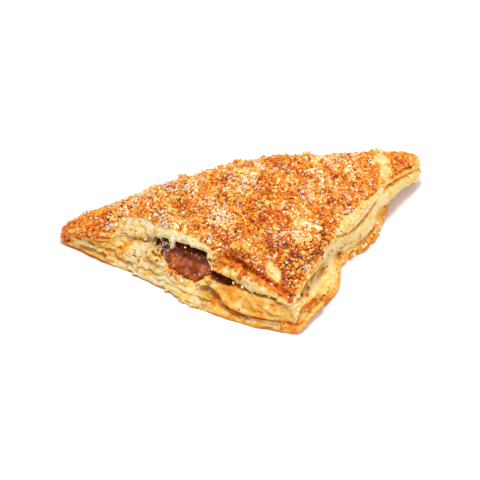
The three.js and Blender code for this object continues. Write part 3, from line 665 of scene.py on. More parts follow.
# folds of the hanging leaf
dough.rope([on_left(.668, 0.0, 9.4), on_left(.700, 1.9, 9.6), on_left(.722, 3.4, 8.8), on_left(.745, 4.7, 7.4), on_left(.785, 5.5, 5.8), on_left(.82, 5.4, 5.6), on_left(.85, 5.3, 5.7),
            on_left(.90, 4.0, 6.2), on_left(.95, 2.9, 6.4)], [0.6, 0.8, 0.9, 1.0, 0.9, 0.8, 0.8, 0.7, 0.5], k=0.8)
dough.rope([on_left(.715, 3.9, 4.4), on_left(.745, 4.6, 4.3), on_left(.795, 5.0, 4.1), on_left(.851, 5.0, 4.5), on_left(.904, 3.7, 4.9), on_left(.951, 2.7, 5.0), on_left(.99, 1.2, 5.1)],
           [0.4, 0.5, 0.55, 0.6, 0.55, 0.5, 0.4], k=0.35, cut=True, deep=(OUT_L, 2.2))
dough.rope([on_left(.745, 0.0, 11.2), on_left(.765, 2.8, 8.8), on_left(.79, 4.7, 6.4)], [0.4, 0.6, 0.5], k=1.2)
dough.rope([on_left(.800, 0.2, 11.2), on_left(.822, 2.9, 8.8), on_left(.85, 4.3, 6.6)], [0.45, 0.7, 0.5], k=1.0)
dough.rope([on_left(.815, 1.9, 10.2), on_left(.835, 3.4, 8.4), on_left(.862, 4.1, 6.8)], [0.35, 0.5, 0.4], k=0.7, cut=True)
dough.rope([on_left(.87, 0.8, 11.4), on_left(.905, 2.4, 9.2), on_left(.945, 2.7, 7.0)], [0.4, 0.6, 0.4], k=1.0)
dough.rope([on_left(.86, 2.4, 9.6), on_left(.91, 3.2, 7.6), on_left(.97, 2.2, 6.6)], [0.3, 0.45, 0.35], k=0.7, cut=True)
# small beads on the bottom rim
for s, o in ((.567, 7.6), (.622, 8.6), (.585, 8.0), (.50, 5.9), (.345, 3.6)):
    dough.blob(on_left(s, o, 0.9), (ALONG_L, OUT_L, UP), (1.0, 0.7, 0.7), k=0.5)


def face_point(side, s, z, inset):
    x0 = (on_left, on_right)[side](s, 0, z)
    rows = (LEFT_FACE, RIGHT_FACE)[side]
    i = int(np.clip((s - SHARES[0]) / (SHARES[1] - SHARES[0]), 0, len(SHARES) - 1))
    o = float(np.interp(z, dough.zs, rows[i]))
    return (on_left, on_right)[side](s, o - inset, z)


LEFT_FACE, RIGHT_FACE = face_of(LEFT_RIBS, dough.zs), face_of(RIGHT_RIBS, dough.zs)
# small bubbles burst open in the cut faces, most of them low on the left and under the crust
for i in range(430):
    side = int(rng.uniform() < 0.36)
    s = rng.uniform(0.04, 0.96)
    z = rng.uniform(1.5, 18)
    x0 = (on_left, on_right)[side](s, -3, 0)
    here = Place(np.array([x0[0]]), np.array([x0[1]]))
    if z > float(here.top[0]) - 2.2 or z < float(here.lift[0]) + 1.2:
        continue
    if side == 0:
        busy = (0.22 < s < 0.50 and 2.5 < z < 12) or (0.24 < s < 0.42 and z > 11) or (0.6 < s < 0.70 and z < 9.5)
        if (0.42 < s < 0.63 and z > 8.5) or (s > 0.68 and z > 4 and rng.uniform() < 0.8):
            continue
    else:
        busy = s < 0.1 or z < 6
        if (0.1 < s < 0.34 and 6 < z < 15) or (0.38 < s < 0.62 and z > 12.5) or (0.64 < s and z > 3 and rng.uniform() < 0.8):
            continue
    if not busy and rng.uniform() < 0.5:
        continue
    r = rng.uniform(0.45, 1.25) if busy else rng.uniform(0.35, 0.8)
    flat = rng.uniform(0.45, 1.0)
    dough.blob(face_point(side, s, z, rng.uniform(-0.1, 0.5) * r), ((ALONG_L, OUT_L, UP), (ALONG_R, OUT_R, UP))[side],
               (r * rng.uniform(1.0, 1.8), r * 1.1, r * flat), k=0.3, cut=True)

# a torn lace of dough hangs over the left of the mouth, with the filling behind it
lo_, hi_ = on_left(.372, 2.5, 0), on_left(.49, -9, 0)
box, (bx, by, bz) = dough._part(np.array([min(lo_[0], hi_[0]) - 6, min(lo_[1], hi_[1]) - 6, 7.0]), np.array([max(lo_[0], hi_[0]) + 6, max(lo_[1], hi_[1]) + 6, 19.0]))
q3 = np.stack(np.broadcast_arrays(bx, by, bz), -1).reshape(-1, 3)
gs = (q3[:, 0] - q3[:, 1] + 126) / 168
go = -(q3[:, 0] + q3[:, 1] + 42) / R2
z_hi, z_lo = np.interp(gs, (.38, .44, .49), (15.0, 16.6, 17.4)), np.interp(gs, (.38, .41, .44, .49), (11.6, 10.4, 9.6, 8.6))
o_lo = np.interp(gs, (.38, .42, .46, .50), (-1.0, -0.2, 0.6, 1.6))
run, fall = o_lo + 6.6, z_lo - z_hi
far = np.sqrt(run**2 + fall**2)
sheet = ((go + 6.6) * -fall + (q3[:, 2] - z_hi) * run) / far + 0.5 * rough3(q3, 3.2, 90)
along = ((go + 6.6) * run + (q3[:, 2] - z_hi) * fall) / far**2
reach_ = 0.388 + 0.020 * smooth(0.1, 0.9, along) + 0.030 * along + 0.010 * rough3(q3, 2.5, 91)
lace = np.maximum(np.abs(sheet) - 0.46, (0.50 + 0.10 * smooth(reach_ - 0.01, reach_ + 0.03, gs) - cells(q3.astype(F32) * np.array([1, 1, 0.8], F32), 2.1, 92)) * 2.6)
lace = np.maximum(lace, (gs - reach_ - 0.035) * LEG)
lace = np.maximum(lace, np.maximum((0.375 - gs) * LEG, np.maximum(-along - 0.05, along - 1.08) * far))
dough.F[box] = smin(dough.F[box], lace.reshape(dough.F[box].shape).astype(F32), 0.5)
del q3, gs, go, sheet, along, lace

# ------------------------------------------------- relief of the surface, only near it
I, J, K = np.nonzero(np.abs(dough.F) < 1.8)
pt = np.stack([dough.xs[I], dough.ys[J], dough.zs[K]], 1).astype(F32)
g = Place(pt[:, 0], pt[:, 1])
hz = pt[:, 2]
depth, rise_ = g.top - hz, hz - g.lift
edge = smooth(9.0, 3.0, near[I, J, K])
side_mask = edge * smooth(0.6, 2.2, depth) * smooth(0.2, 1.2, rise_) * (1 - 0.75 * smooth(78, 83, pt[:, 0])) * (1 - 0.5 * smooth(-79, -83, pt[:, 0]))
crust_mask = 1 - smooth(0.8, 2.4, depth)
at_l, at_r = smooth(14, 9, g.left), smooth(12, 7, g.right)
# smooth zones: the lip over the mouth, the flap and the hanging leaf, the hollow and the bulge on the right
calm = 1 - 0.45 * band(g.sl, 0.42, 0.62, 0.02) * at_l * band(hz, 15.5, 23.0, 1.0)
calm = calm * (1 - 0.75 * band(g.sr, 0.10, 0.34, 0.03) * at_r * band(hz, 7.0, 15.5, 1.2))
calm = calm * (1 - (0.50 - 0.22 * smooth(12.4, 13.6, hz)) * band(g.sl, 0.70, 0.98, 0.02) * smooth(7, 2, g.left) * band(hz, 4.6, 18.0, 1.2))
calm = calm * (1 - 0.55 * band(g.sr, 0.38, 0.97, 0.03) * smooth(9, 5, g.right) * band(rise_, 4.5, 17.0, 1.2))
# bubbly zones: low on the left, the torn slope over the gap, the tear beside the flap, the lower lobes on the right
slope = band(g.sl, 0.238, 0.42, 0.012) * smooth(14, 12, g.left) * smooth(9.5, 11.5, hz + 30 * np.clip(0.3 - g.sl, 0, 0.1))
tear_ = band(g.sl, 0.615, 0.69, 0.012) * smooth(12, 10, g.left) * smooth(12.0, 14.0, hz)
airy = at_l * band(g.sl, 0.25, 0.50, 0.03) * band(hz, 2.6, 12.5, 1.0) + slope + tear_
airy = np.clip(airy + 0.8 * at_r * band(g.sr, 0.36, 0.64, 0.03) * smooth(10, 8, hz) + 0.6 * at_r * band(g.sr, 0.14, 0.34, 0.03) * smooth(7, 5.5, hz), 0, 1) * edge * smooth(0.3, 1.2, depth)
add = 0.36 * side_mask * np.maximum(calm, 0.5) * rough3(pt, (6.0, 6.0, 3.0), 3)
add += 0.30 * side_mask * np.maximum(calm, 0.5) * rough3(pt, (1.7, 1.7, 1.2), 5)
ply = at_l * np.maximum(band(g.sl, 0.655, 0.985, 0.012) * band(hz, 13.0, 19.0, 0.6), 0.8 * band(g.sl, 0.30, 0.63, 0.02) * band(hz, 15.5, 23.0, 0.8)) * smooth(0.2, 1.0, depth)
add += 0.34 * ply * rough3(pt, (1.5, 1.5, 5.0), 4) + 0.20 * ply * rough3(pt, (3.0, 3.0, 0.9), 14)
add += crust_mask * (0.40 * rough3(pt, 5.0, 6) + 0.14 * rough3(pt, 1.5, 7))
back_ = smooth(7.0, 4.0, g.fold + g.bulge) * (1 - crust_mask) * smooth(0.3, 1.4, rise_)
add += back_ * (0.55 * rough3(pt, (7.0, 7.0, 3.2), 8) + 0.26 * rough3(pt, (2.6, 2.6, 1.5), 9) + 0.14 * rough3(pt, 1.1, 10))
live = np.nonzero(back_ > 0.03)[0]
add[live] -= back_[live] * 1.3 * (np.clip(0.60 - cells(pt[live] * np.array([0.7, 0.7, 1.0], F32), 2.6, 76), 0, 1) - 0.10)
# leaf edges that stand out one above another, like thin broken shingles
for spacing, amp, seed in ((1.9, 0.78, 40), (1.2, 0.52, 50)):
    ph = rise_ / spacing + 0.9 * rough2(pt[:, 0], pt[:, 1], 15.0, seed) + 0.4 * rough2(pt[:, 0], pt[:, 1], 5.0, seed + 1) + 0.2 * rough2(pt[:, 0], pt[:, 1], 2.0, seed + 2)
    step_ = np.floor(ph)
    strong = np.clip(0.35 + 1.1 * rough3(np.stack([pt[:, 0], pt[:, 1], 10 * step_], 1), (4.5, 4.5, 10.0), seed), 0, 1)
    add -= side_mask * calm * calm * (1 - 0.5 * airy) * amp * strong * (0.5 - (ph - step_))
live = np.nonzero(airy > 0.03)[0]
hole = cells(pt[live] * np.array([1, 1, 1.15], F32), 2.5, 60)
add[live] += airy[live] * 1.5 * (np.clip(0.62 - hole, 0, 1) - 0.12)
hole = cells(pt[live], 1.35, 64)
add[live] += airy[live] * 0.7 * (np.clip(0.60 - hole, 0, 1) - 0.10)
# the crust itself is baked into small grains
live = np.nonzero((crust_mask > 0.05) & (hz > g.lift + 4))[0]
hole = cells(pt[live], 2.0, 68)
add[live] -= crust_mask[live] * 1.7 * (np.clip(0.66 - hole, 0, 1) - 0.14)
hole = cells(pt[live], 1.25, 72)
add[live] -= crust_mask[live] * 1.0 * (np.clip(0.66 - hole, 0, 1) - 0.14)
dough.F[I, J, K] += add.astype(F32)
del I, J, K, pt, g, hz, depth, rise_, edge, side_mask, crust_mask, calm, airy, add, live, hole, side_only, near
dough.F[0], dough.F[-1], dough.F[:, 0], dough.F[:, -1] = 5, 5, 5, 5
dough.F = np.maximum(dough.F, -zz + 0.02)

verts, faces = dough.skin()
verts, faces = largest_piece(verts, faces)
e = edges_of(faces)
verts = relax(verts, e, 1, 0.5)
verts[:, 2] = np.maximum(verts[:, 2], 0.0)
print("dough skin", len(verts), "vertices")


def mesh_from(name, verts_mm, faces, move=True):
    me = bpy.data.meshes.new(name)
    v = (verts_mm + (MOVE if move else 0)) * MM
    me.vertices.add(len(v))
    me.vertices.foreach_set("co", v.astype(F32).ravel())
    n = faces.shape[1]
    me.loops.add(faces.size)
    me.loops.foreach_set("vertex_index", faces.astype(np.int32).ravel())
    me.polygons.add(len(faces))
    me.polygons.foreach_set("loop_start", np.arange(0, faces.size, n, dtype=np.int32))
    me.polygons.foreach_set("loop_total", np.full(len(faces), n, np.int32))
    me.update(calc_edges=True)
    me.validate()
    ob = bpy.data.objects.new(name, me)
    bpy.context.scene.collection.objects.link(ob)
    return ob


def thin(ob, limit):
    """Bakes a collapse of the densest flat parts, so that the piece stays under its limit."""
    me = ob.data
    tris = sum(len(p.vertices) - 2 for p in me.polygons) if len(me.polygons) < 1000 else int(sum(me.polygons[0].loop_total - 2 for _ in range(1)) * len(me.polygons))
    if tris > limit:
        mod = ob.modifiers.new("thin", "DECIMATE")
        mod.ratio = limit / tris
        dg = bpy.context.evaluated_depsgraph_get()
        new = bpy.data.meshes.new_from_object(ob.evaluated_get(dg))
        ob.modifiers.clear()
        ob.data = new
        bpy.data.meshes.remove(me)
    for p in (ob.data,):
        p.shade_smooth()
    return ob


def arrays(ob):
    me = ob.data
    v = np.empty(len(me.vertices) * 3, F32)
    me.vertices.foreach_get("co", v)
    v = v.reshape(-1, 3).astype(float) / MM - MOVE
    me.calc_loop_triangles()
    t = np.empty(len(me.loop_triangles) * 3, np.int32)
    me.loop_triangles.foreach_get("vertices", t)
    return v, t.reshape(-1, 3)


def set_floats(ob, name, values):
    a = ob.data.attributes.new(name, "FLOAT", "POINT")
    a.data.foreach_set("value", np.asarray(values, F32))


crust = thin(mesh_from("dough_leaves", verts, faces), 196_000)
del verts, faces
cv, ct = arrays(crust)
cn = normals_of(cv, ct)
print("crust", len(cv), len(ct))

# ================================================================= how each point is baked
Q = Place(cv[:, 0], cv[:, 1])
z = cv[:, 2]
t_down = Q.top - z  # how far below the top of the pastry
h_up = z - Q.lift
ol, orr = -Q.left, -Q.right
ce = edges_of(ct)
mean = relax(cv, ce, 1, 1.0)
bend = -np.einsum("ij,ij->i", mean - cv, cn)
bend = relax(bend[:, None], ce, 2, 0.6)[:, 0] / 0.06
# how open each point is to the sky: drives the painted shade in nooks and where grains settle
open_ = sum(w * np.clip(dough.sample(cv + cn * d) / d, 0, 1) for d, w in ((0.7, 0.3), (1.6, 0.35), (3.2, 0.35)))
n1 = rough3(cv, 8.0, 11)
n2 = rough3(cv, 3.2, 12)
n3 = rough3(cv, 1.3, 13)
q_l, q_r = crust_reach(Q)
lefty = (Q.left < Q.right) & (Q.left < 26)
righty = (Q.right <= Q.left) & (Q.right < 26)
share = np.where(lefty, Q.sl, Q.sr)
facing = smooth(-0.15, 0.3, cn[:, 2])
tip_drop = smooth(0.235, 0.2, Q.sl) * 1.2 + smooth(0.13, 0.02, Q.sl) * 5.0 + smooth(0.74, 0.80, Q.sr) * 1.0 + smooth(0.93, 1.0, Q.sr) * 1.0  # the crust wraps over the edge there

crust_in = np.minimum(q_l, q_r)
on_top = smooth(-0.25, 0.35, crust_in) * smooth(2.9 + tip_drop, 1.5 + tip_drop, t_down) * np.maximum(facing, smooth(0.4, 1.6, tip_drop))
fold_in = Q.fold + Q.bulge
on_fold = smooth(3.6, 1.6, fold_in) * smooth(-0.1, 0.4, cn[:, 1])
under = smooth(-0.3, -0.75, cn[:, 2]) * smooth(2.2, 0.8, h_up)

# the cut sides: pale, a little toasted where a leaf stands out
# painted light: the lower left cut face is painted paler to lift the shade that falls on it
L_low = lefty * band(Q.sl, 0.26, 0.62, 0.03) * smooth(12.0, 10.0, z)
bake = 0.13 - 0.06 * L_low + 0.04 * n1 + 0.05 * n2 + 0.05 * n3 + 0.11 * np.clip(bend, -0.6, 1.6)
L, R = lefty.astype(float), righty.astype(float)
for spacing, seed, w in ((1.9, 40, 0.10), (1.2, 50, 0.06)):
    ph = h_up / spacing + 0.9 * rough2(cv[:, 0], cv[:, 1], 15.0, seed) + 0.4 * rough2(cv[:, 0], cv[:, 1], 5.0, seed + 1) + 0.2 * rough2(cv[:, 0], cv[:, 1], 2.0, seed + 2)
    step_ = np.floor(ph)
    strong = np.clip(0.35 + 1.1 * rough3(np.stack([cv[:, 0], cv[:, 1], 10 * step_], 1), (4.5, 4.5, 10.0), seed), 0, 1)
    bake += w * strong * (smooth(0.45, 0.10, ph - step_) - 0.35)
out_l, out_r = ol - curve([(t, v) for t, v in BOTTOM_LEFT], Q.sl), orr - curve(BOTTOM_RIGHT, Q.sr)
rim_low = smooth(1.9, 0.5, h_up) * smooth(-3.5, -1.0, np.where(lefty, out_l, out_r))
bake += 0.10 * rim_low
# bottom rim of the left tip, well browned
bake += L * band(Q.sl, 0.05, 0.238, 0.012) * (0.50 * smooth(2.3, 1.1, h_up + 0.3 * n2) + 0.03)
bake += L * smooth(0.085, 0.035, Q.sl + 0.012 * n2) * 0.42 * (0.9 + 0.4 * n3)
bake += L * band(Q.sl, 0.05, 0.235, 0.02) * 0.10 * smooth(-0.1, 0.7, n3 + 0.6 * n2)
# golden flecks low on the left
fleck = smooth(0.15, 0.6, rough3(cv, 1.9, 14)) * smooth(-0.1, 0.5, rough3(cv, 6.0, 15))
bake += L * band(Q.sl, 0.235, 0.56, 0.02) * smooth(2.0, 3.4, h_up) * smooth(14, 11, z) * (0.01 + 0.27 * fleck + 0.08 * np.clip(bend, 0, 1.5))
bake += L * band(Q.sl, 0.240, 0.305, 0.015) * band(z, 3.0, 9.5, 1.0) * (0.12 + 0.26 * fleck)
bake += L * band(Q.sl, 0.24, 0.42, 0.02) * smooth(11, 13, z) * (0.20 * fleck - 0.05)
# the lip is the palest
lip = L * band(Q.sl, 0.42, 0.62, 0.02) * smooth(16.0, 17.4, z) * (1 - on_top)
bake -= 0.07 * lip
# towards the front the lower leaves are golden
bake += L * smooth(0.66, 0.72, Q.sl) * smooth(12.8, 11.6, z) * 0.09
bake += L * smooth(0.44, 0.60, Q.sl) * smooth(12.6, 11.2, z) * (0.06 + 0.14 * n2 + 0.08 * n3 + 0.03 * smooth(0.82, 0.95, Q.sl))
low_line = curve([(0.66, 4.2), (0.795, 4.1), (0.851, 4.5), (0.904, 4.9), (0.951, 5.0), (1.0, 5.1)], Q.sl)
bake += L * smooth(0.64, 0.72, Q.sl) * np.exp(-(((z - low_line) / 0.75) ** 2)) * smooth(7.2, 5.6, ol) * (0.36 + 0.10 * n3)
# browned upper edge of the flap
flap_in = -ol - (-curve(FLAP_RIM, Q.sl))  # >0 inward of the rim
rim_z = curve([(0.645, 13.4), (0.66, 14.8), (0.676, 16.0), (0.695, 17.1), (0.713, 18.2), (0.735, 18.9), (0.766, 18.8), (0.813, 18.5), (0.866, 17.6), (0.922, 16.6), (0.963, 15.7), (1.0, 15.0)], Q.sl)
flap = L * band(Q.sl, 0.652, 0.99, 0.010) * smooth(-0.35, 0.45, z - rim_z + 0.5 * n3 + 0.3 * n2) * (1 - on_top) * smooth(10.5, 9.0, Q.left)
bake += 0.44 * flap * (0.95 + 0.35 * n2 + 0.30 * n3)
# painted shade: marks the groove behind the flap, which is painted dark brown below
behind = L * band(Q.sl, 0.68, 0.985, 0.012) * np.exp(-(((Q.left - curve(FLAP_GROOVE, Q.sl)) / 0.85) ** 2)) * smooth(4.6, 3.6, t_down)
# painted shade: the hollow beneath the flap is painted dark brown
hollow = L * smooth(1.15, 0.85, np.hypot((Q.sl - 0.697) * LEG / 6.6, (z - 12.3) / 2.8)) * smooth(-0.6, -1.6, ol)
bake += 0.80 * hollow
ply = L * band(Q.sl, 0.655, 0.985, 0.012) * band(z, 13.2, 19.0, 0.5) * (1 - on_top) * (1 - flap)
bake += ply * (0.03 + 0.20 * smooth(0.15, 0.75, rough3(cv, (1.6, 1.6, 1.1), 17) + 0.4 * n3) + 0.12 * smooth(14.4, 13.6, z + 0.4 * n3))
# painted shade: a dark line along the slit under the flap
slit = L * band(Q.sl, 0.72, 0.96, 0.01) * np.exp(-(((z - curve([(0.73, 12.8), (0.82, 12.9), (0.86, 13.4), (0.925, 13.5), (0.96, 12.2)], Q.sl)) / 0.8) ** 2)) * smooth(-0.4, -1.4, ol)
bake += 0.62 * slit
# right side: the bottom leaf's rims are toasted; painted shade darkens the crescent groove and the groove under the
# right tip's crust
lobe = R * smooth(-2.4, -0.4, out_r) * smooth(5.2, 3.4, h_up) * (band(Q.sr, -0.02, 0.34, 0.02) + band(Q.sr, 0.40, 0.64, 0.02))
bake += 0.16 * lobe * (0.8 + 0.5 * n2)
arc = curve([(0.0, 4.2), (0.042, 6.0), (0.068, 6.9), (0.10, 6.5), (0.15, 5.9)], Q.sr)
crescent_shade = R * band(Q.sr, 0.012, 0.15, 0.01) * smooth(1.5, 0.7, np.abs(z - arc)) * smooth(3.4, 2.6, orr) * smooth(-0.6, 0.2, orr)
bake += 0.36 * crescent_shade
# painted shade: a dark line in the groove under the right tip's overhanging crust
groove_shade_r = R * band(Q.sr, 0.72, 1.0, 0.02) * smooth(1.0, 0.4, np.abs(z - curve([(0.735, 17.4), (0.83, 15.5), (0.93, 12.9), (1.0, 11.2)], Q.sr)))
bake += 0.30 * groove_shade_r
bake += R * band(Q.sr, 0.34, 0.64, 0.03) * smooth(7.6, 5.6, h_up) * 0.12 * (0.8 + 0.8 * n3)
bake += R * band(Q.sr, 0.06, 0.34, 0.03) * band(z, 6.0, 14.0, 1.0) * 0.035
bake += R * smooth(0.30, 0.24, Q.sr) * smooth(5.4, 4.2, z) * (0.10 + 0.06 * n3)
bake += R * smooth(0.66, 0.60, Q.sr) * smooth(9.0, 7.0, z) * 0.05
# smooth tan face beneath the right tip's overhang
tan = R * band(Q.sr, 0.655, 0.84, 0.02) * smooth(9.6, 8.6, z) * smooth(1.8, 2.8, z)
bake += 0.28 * tan
bake += R * smooth(0.66, 0.76, Q.sr) * smooth(8.4, 9.4, z) * 0.06

# top crust: golden to orange brown, in patches
PALE = [(-4.4, -25.6, 2.4, 5.4, 114.0), (10.4, -12.8, 2.8, 3.0, 0.0), (63.8, 36.8, 2.6, 4.4, 30.0), (63.4, 29.6, 2.4, 4.2, 60.0)]
DARK = [(-17.0, -12.0, 3.0), (-14.0, -20.0, 3.4), (-6.0, -20.5, 2.6), (4.5, -20.5, 3.6), (2.0, -27.5, 2.6), (-36.0, 8.0, 3.0), (-8.0, 2.0, 3.4), (-44.0, 21.0, 3.0), (30.0, 8.0, 2.2), (12.0, 4.0, 3.0), (-10.0, -26.0, 3.0), (8.0, -25.0, 3.0), (-27.8, 7.2, 3.2), (-18.7, -0.3, 3.0), (-23.7, -2.9, 2.4), (55.9, 24.3, 2.2), (0.8, -24.6, 3.2), (-13.2, -13.2, 3.4), (-1.0, -28.4, 2.2), (74.0, 36.0, 4.0), (-66.0, 32.0, 5.0), (-34.0, 22.0, 5.0), (3.0, 8.0, 5.0), (-10.0, 24.0, 6.0), (40.0, 22.0, 3.0), (16.0, -20.0, 3.0)]


def pale_spot(x, y, wob=0.0):
    out = np.zeros_like(x)
    for px_, py_, a, b, deg in PALE:
        c, s_ = math.cos(math.radians(deg)), math.sin(math.radians(deg))
        u, w = (x - px_) * c + (y - py_) * s_, -(x - px_) * s_ + (y - py_) * c
        out = np.maximum(out, smooth(1.4, 0.7, np.hypot(u / b, w / a) + wob))
    return out


def dark_spot(x, y, wob=0.0):
    out = np.zeros_like(x)
    for px_, py_, r in DARK:
        out = np.maximum(out, smooth(1.3, 0.3, np.hypot(x - px_, y - py_) / r + wob))
    return out


patch = pale_spot(cv[:, 0], cv[:, 1], 0.30 * n2 + 0.16 * n3)
dusk = dark_spot(cv[:, 0], cv[:, 1], 0.25 * n2)
# painted shade: the crust is darker along the crease
crease = smooth(1.5, 0.4, np.abs(cv[:, 0] - (23.4 + 0.24 * (cv[:, 1] + 4.5)))) * band(cv[:, 1], -13.0, 3.5, 1.0)
crust_bake = 0.68 + 0.09 * n1 + 0.12 * n2 + 0.13 * n3 - 0.05 * smooth(15, 35, cv[:, 0]) - 0.09 * smooth(38, 52, cv[:, 0]) * smooth(66, 60, cv[:, 0]) + 0.13 * smooth(-6, -18, cv[:, 1]) + 0.12 * dusk + 0.12 * crease
ring = np.exp(-(((patch - 0.35) / 0.25) ** 2)) * (patch > 0.02)
tips = np.maximum(smooth(56, 64, cv[:, 0]), smooth(-60, -68, cv[:, 0]))
crust_bake = crust_bake - 0.13 * tips + 0.10 * tips * rough3(cv, 2.0, 16)
# painted shade: the crust is darker in its dips and paler on its raised grains
crust_bake = crust_bake - 0.24 * np.clip(bend, -0.8, 1.4) + 0.05
crust_bake = crust_bake * (1 - patch) + (0.17 + 0.06 * n2 + 0.07 * n3) * patch + 0.10 * ring
# thin crust edge next to the torn side is golden
crust_bake = crust_bake - 0.16 * smooth(1.3, 0.2, crust_in) * smooth(0.22, 0.26, share) * L

bake = bake * (1 - on_top) + crust_bake * on_top
# painted shade: dark brown in the groove behind the flap
bake = bake + (0.77 + 0.10 * n2 + 0.05 * n3 - bake) * 0.8 * np.clip(behind, 0, 1)
# the fold is browner up high; painted shade makes it darker in its dips
bake = bake * (1 - on_fold * (1 - on_top)) + (0.60 - 0.12 * smooth(6, 14, t_down) + 0.10 * n1 + 0.10 * n2 + 0.07 * n3 - 0.10 * np.clip(bend, -0.8, 1.2)) * on_fold * (1 - on_top)
bake = np.where(under > 0, bake * (1 - under) + under * (0.56 + 0.12 * n1 + 0.08 * n2), bake)
set_floats(crust, "bake", np.clip(bake, 0.02, 1.0))
# painted shade: the dough is darkened where it is hemmed in by itself (crevices, under overhangs), a little less low on
# the left
set_floats(crust, "nook_shade", np.clip(1 - open_, 0, 1) * (1 - 0.35 * L_low))
set_floats(crust, "toptop", on_top)


# ================================================================= materials
def lin(r, g, b):
    f = lambda c: c / 12.92 if c <= 0.04045 else ((c + 0.055) / 1.055) ** 2.4
    return (f(r / 255), f(g / 255), f(b / 255), 1.0)


def new_material(name):
    m = bpy.data.materials.new(name)
    m.use_nodes = True
    nt = m.node_tree
    nt.nodes.clear()
    out = nt.nodes.new("ShaderNodeOutputMaterial")
    bsdf = nt.nodes.new("ShaderNodeBsdfPrincipled")
    nt.links.new(bsdf.outputs[0], out.inputs[0])
    return m, nt, bsdf


def node(nt, kind, **kw):
    n = nt.nodes.new(kind)
    for k, v in kw.items():
        setattr(n, k, v)
    return n


def attr(nt, name):
    n = node(nt, "ShaderNodeAttribute")
    n.attribute_name = name
    return n.outputs["Fac"]


def noise(nt, scale, detail=4.0, rough=0.55, vec=None):
    n = node(nt, "ShaderNodeTexNoise")
    n.inputs["Scale"].default_value = scale
    n.inputs["Detail"].default_value = detail
    n.inputs["Roughness"].default_value = rough
    if vec is not None:
        nt.links.new(vec, n.inputs["Vector"])
    return n.outputs[0]


def maths(nt, op, a, b, c=None, clamp=False):
    n = node(nt, "ShaderNodeMath", operation=op, use_clamp=clamp)
    for i, v in enumerate((a, b, c)):
        if v is None:
            continue
        if isinstance(v, (int, float)):
            n.inputs[i].default_value = v
        else:
            nt.links.new(v, n.inputs[i])
    return n.outputs[0]


def ramp(nt, fac, stops):
    n = node(nt, "ShaderNodeValToRGB")
    el = n.color_ramp.elements
    while len(el) > 1:
        el.remove(el[-1])
    el[0].position, el[0].color = stops[0][0], stops[0][1]
    for p, c in stops[1:]:
        x = el.new(p)
        x.color = c
    nt.links.new(fac, n.inputs[0])
    return n.outputs[0]


def mix(nt, fac, a, b, mode="MIX"):
    n = node(nt, "ShaderNodeMix", data_type="RGBA", blend_type=mode)
    for i, v in ((0, fac), (6, a), (7, b)):
        if isinstance(v, (int, float, tuple)):
            n.inputs[i].default_value = v
        else:
            nt.links.new(v, n.inputs[i])
    return n.outputs[2]


BAKED = [
    (0.00, lin(229, 216, 180)),
    (0.14, lin(226, 204, 148)),
    (0.28, lin(224, 183, 84)),
    (0.42, lin(224, 155, 54)),
    (0.56, lin(222, 126, 18)),
    (0.70, lin(198, 92, 10)),
    (0.84, lin(154, 62, 6)),
    (1.00, lin(96, 36, 5)),
]

crust_mat, nt, bsdf = new_material("baked_dough")
co = node(nt, "ShaderNodeTexCoord").outputs["Object"]
b = attr(nt, "bake")
fine = noise(nt, 900, 5, 0.6, co)
mid = noise(nt, 330, 4, 0.55, co)
v = maths(nt, "MULTIPLY_ADD", maths(nt, "SUBTRACT", fine, 0.5), 0.30, b)
v = maths(nt, "MULTIPLY_ADD", maths(nt, "SUBTRACT", mid, 0.5), 0.26, v, clamp=True)
low = node(nt, "ShaderNodeMapping")
nt.links.new(co, low.inputs["Vector"])
low.inputs["Scale"].default_value = (1.0, 1.0, 3.2)
flake = noise(nt, 460, 5, 0.62, low.outputs[0])
flake.node.inputs["Distortion"].default_value = 0.5
side_ = maths(nt, "SUBTRACT", 1.0, attr(nt, "toptop"), clamp=True)
v = maths(nt, "MULTIPLY_ADD", maths(nt, "MULTIPLY", maths(nt, "SUBTRACT", flake, 0.5), side_), 0.42, v, clamp=True)
col = ramp(nt, v, BAKED)
# painted shade: the colour is multiplied towards warm amber in the nooks
nook_shade = attr(nt, "nook_shade")
col = mix(nt, maths(nt, "MULTIPLY", nook_shade, 0.88, clamp=True), col, lin(224, 172, 80), "MULTIPLY")
nt.links.new(col, bsdf.inputs["Base Color"])
r = maths(nt, "MULTIPLY_ADD", fine, 0.35, 0.48)
nt.links.new(maths(nt, "MULTIPLY_ADD", attr(nt, "toptop"), -0.14, r), bsdf.inputs["Roughness"])
bsdf.inputs["Subsurface Weight"].default_value = 0.12
bsdf.inputs["Subsurface Radius"].default_value = (0.9, 0.65, 0.40)
bsdf.inputs["Subsurface Scale"].default_value = 0.0014
bsdf.inputs["IOR"].default_value = 1.42
bsdf.inputs["Specular IOR Level"].default_value = 0.42
bump = node(nt, "ShaderNodeBump")
bump.inputs["Strength"].default_value = 0.6
bump.inputs["Distance"].default_value = 0.0004
height_ = maths(nt, "ADD", maths(nt, "MULTIPLY", fine, 0.6), maths(nt, "MULTIPLY", mid, 0.4))
nt.links.new(maths(nt, "ADD", height_, maths(nt, "MULTIPLY", flake, maths(nt, "MULTIPLY", side_, 1.1))), bump.inputs["Height"])
nt.links.new(bump.outputs[0], bsdf.inputs["Normal"])
crust.data.materials.clear()
crust.data.materials.append(crust_mat)
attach(crust, "root")
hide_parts("pastry_crust")

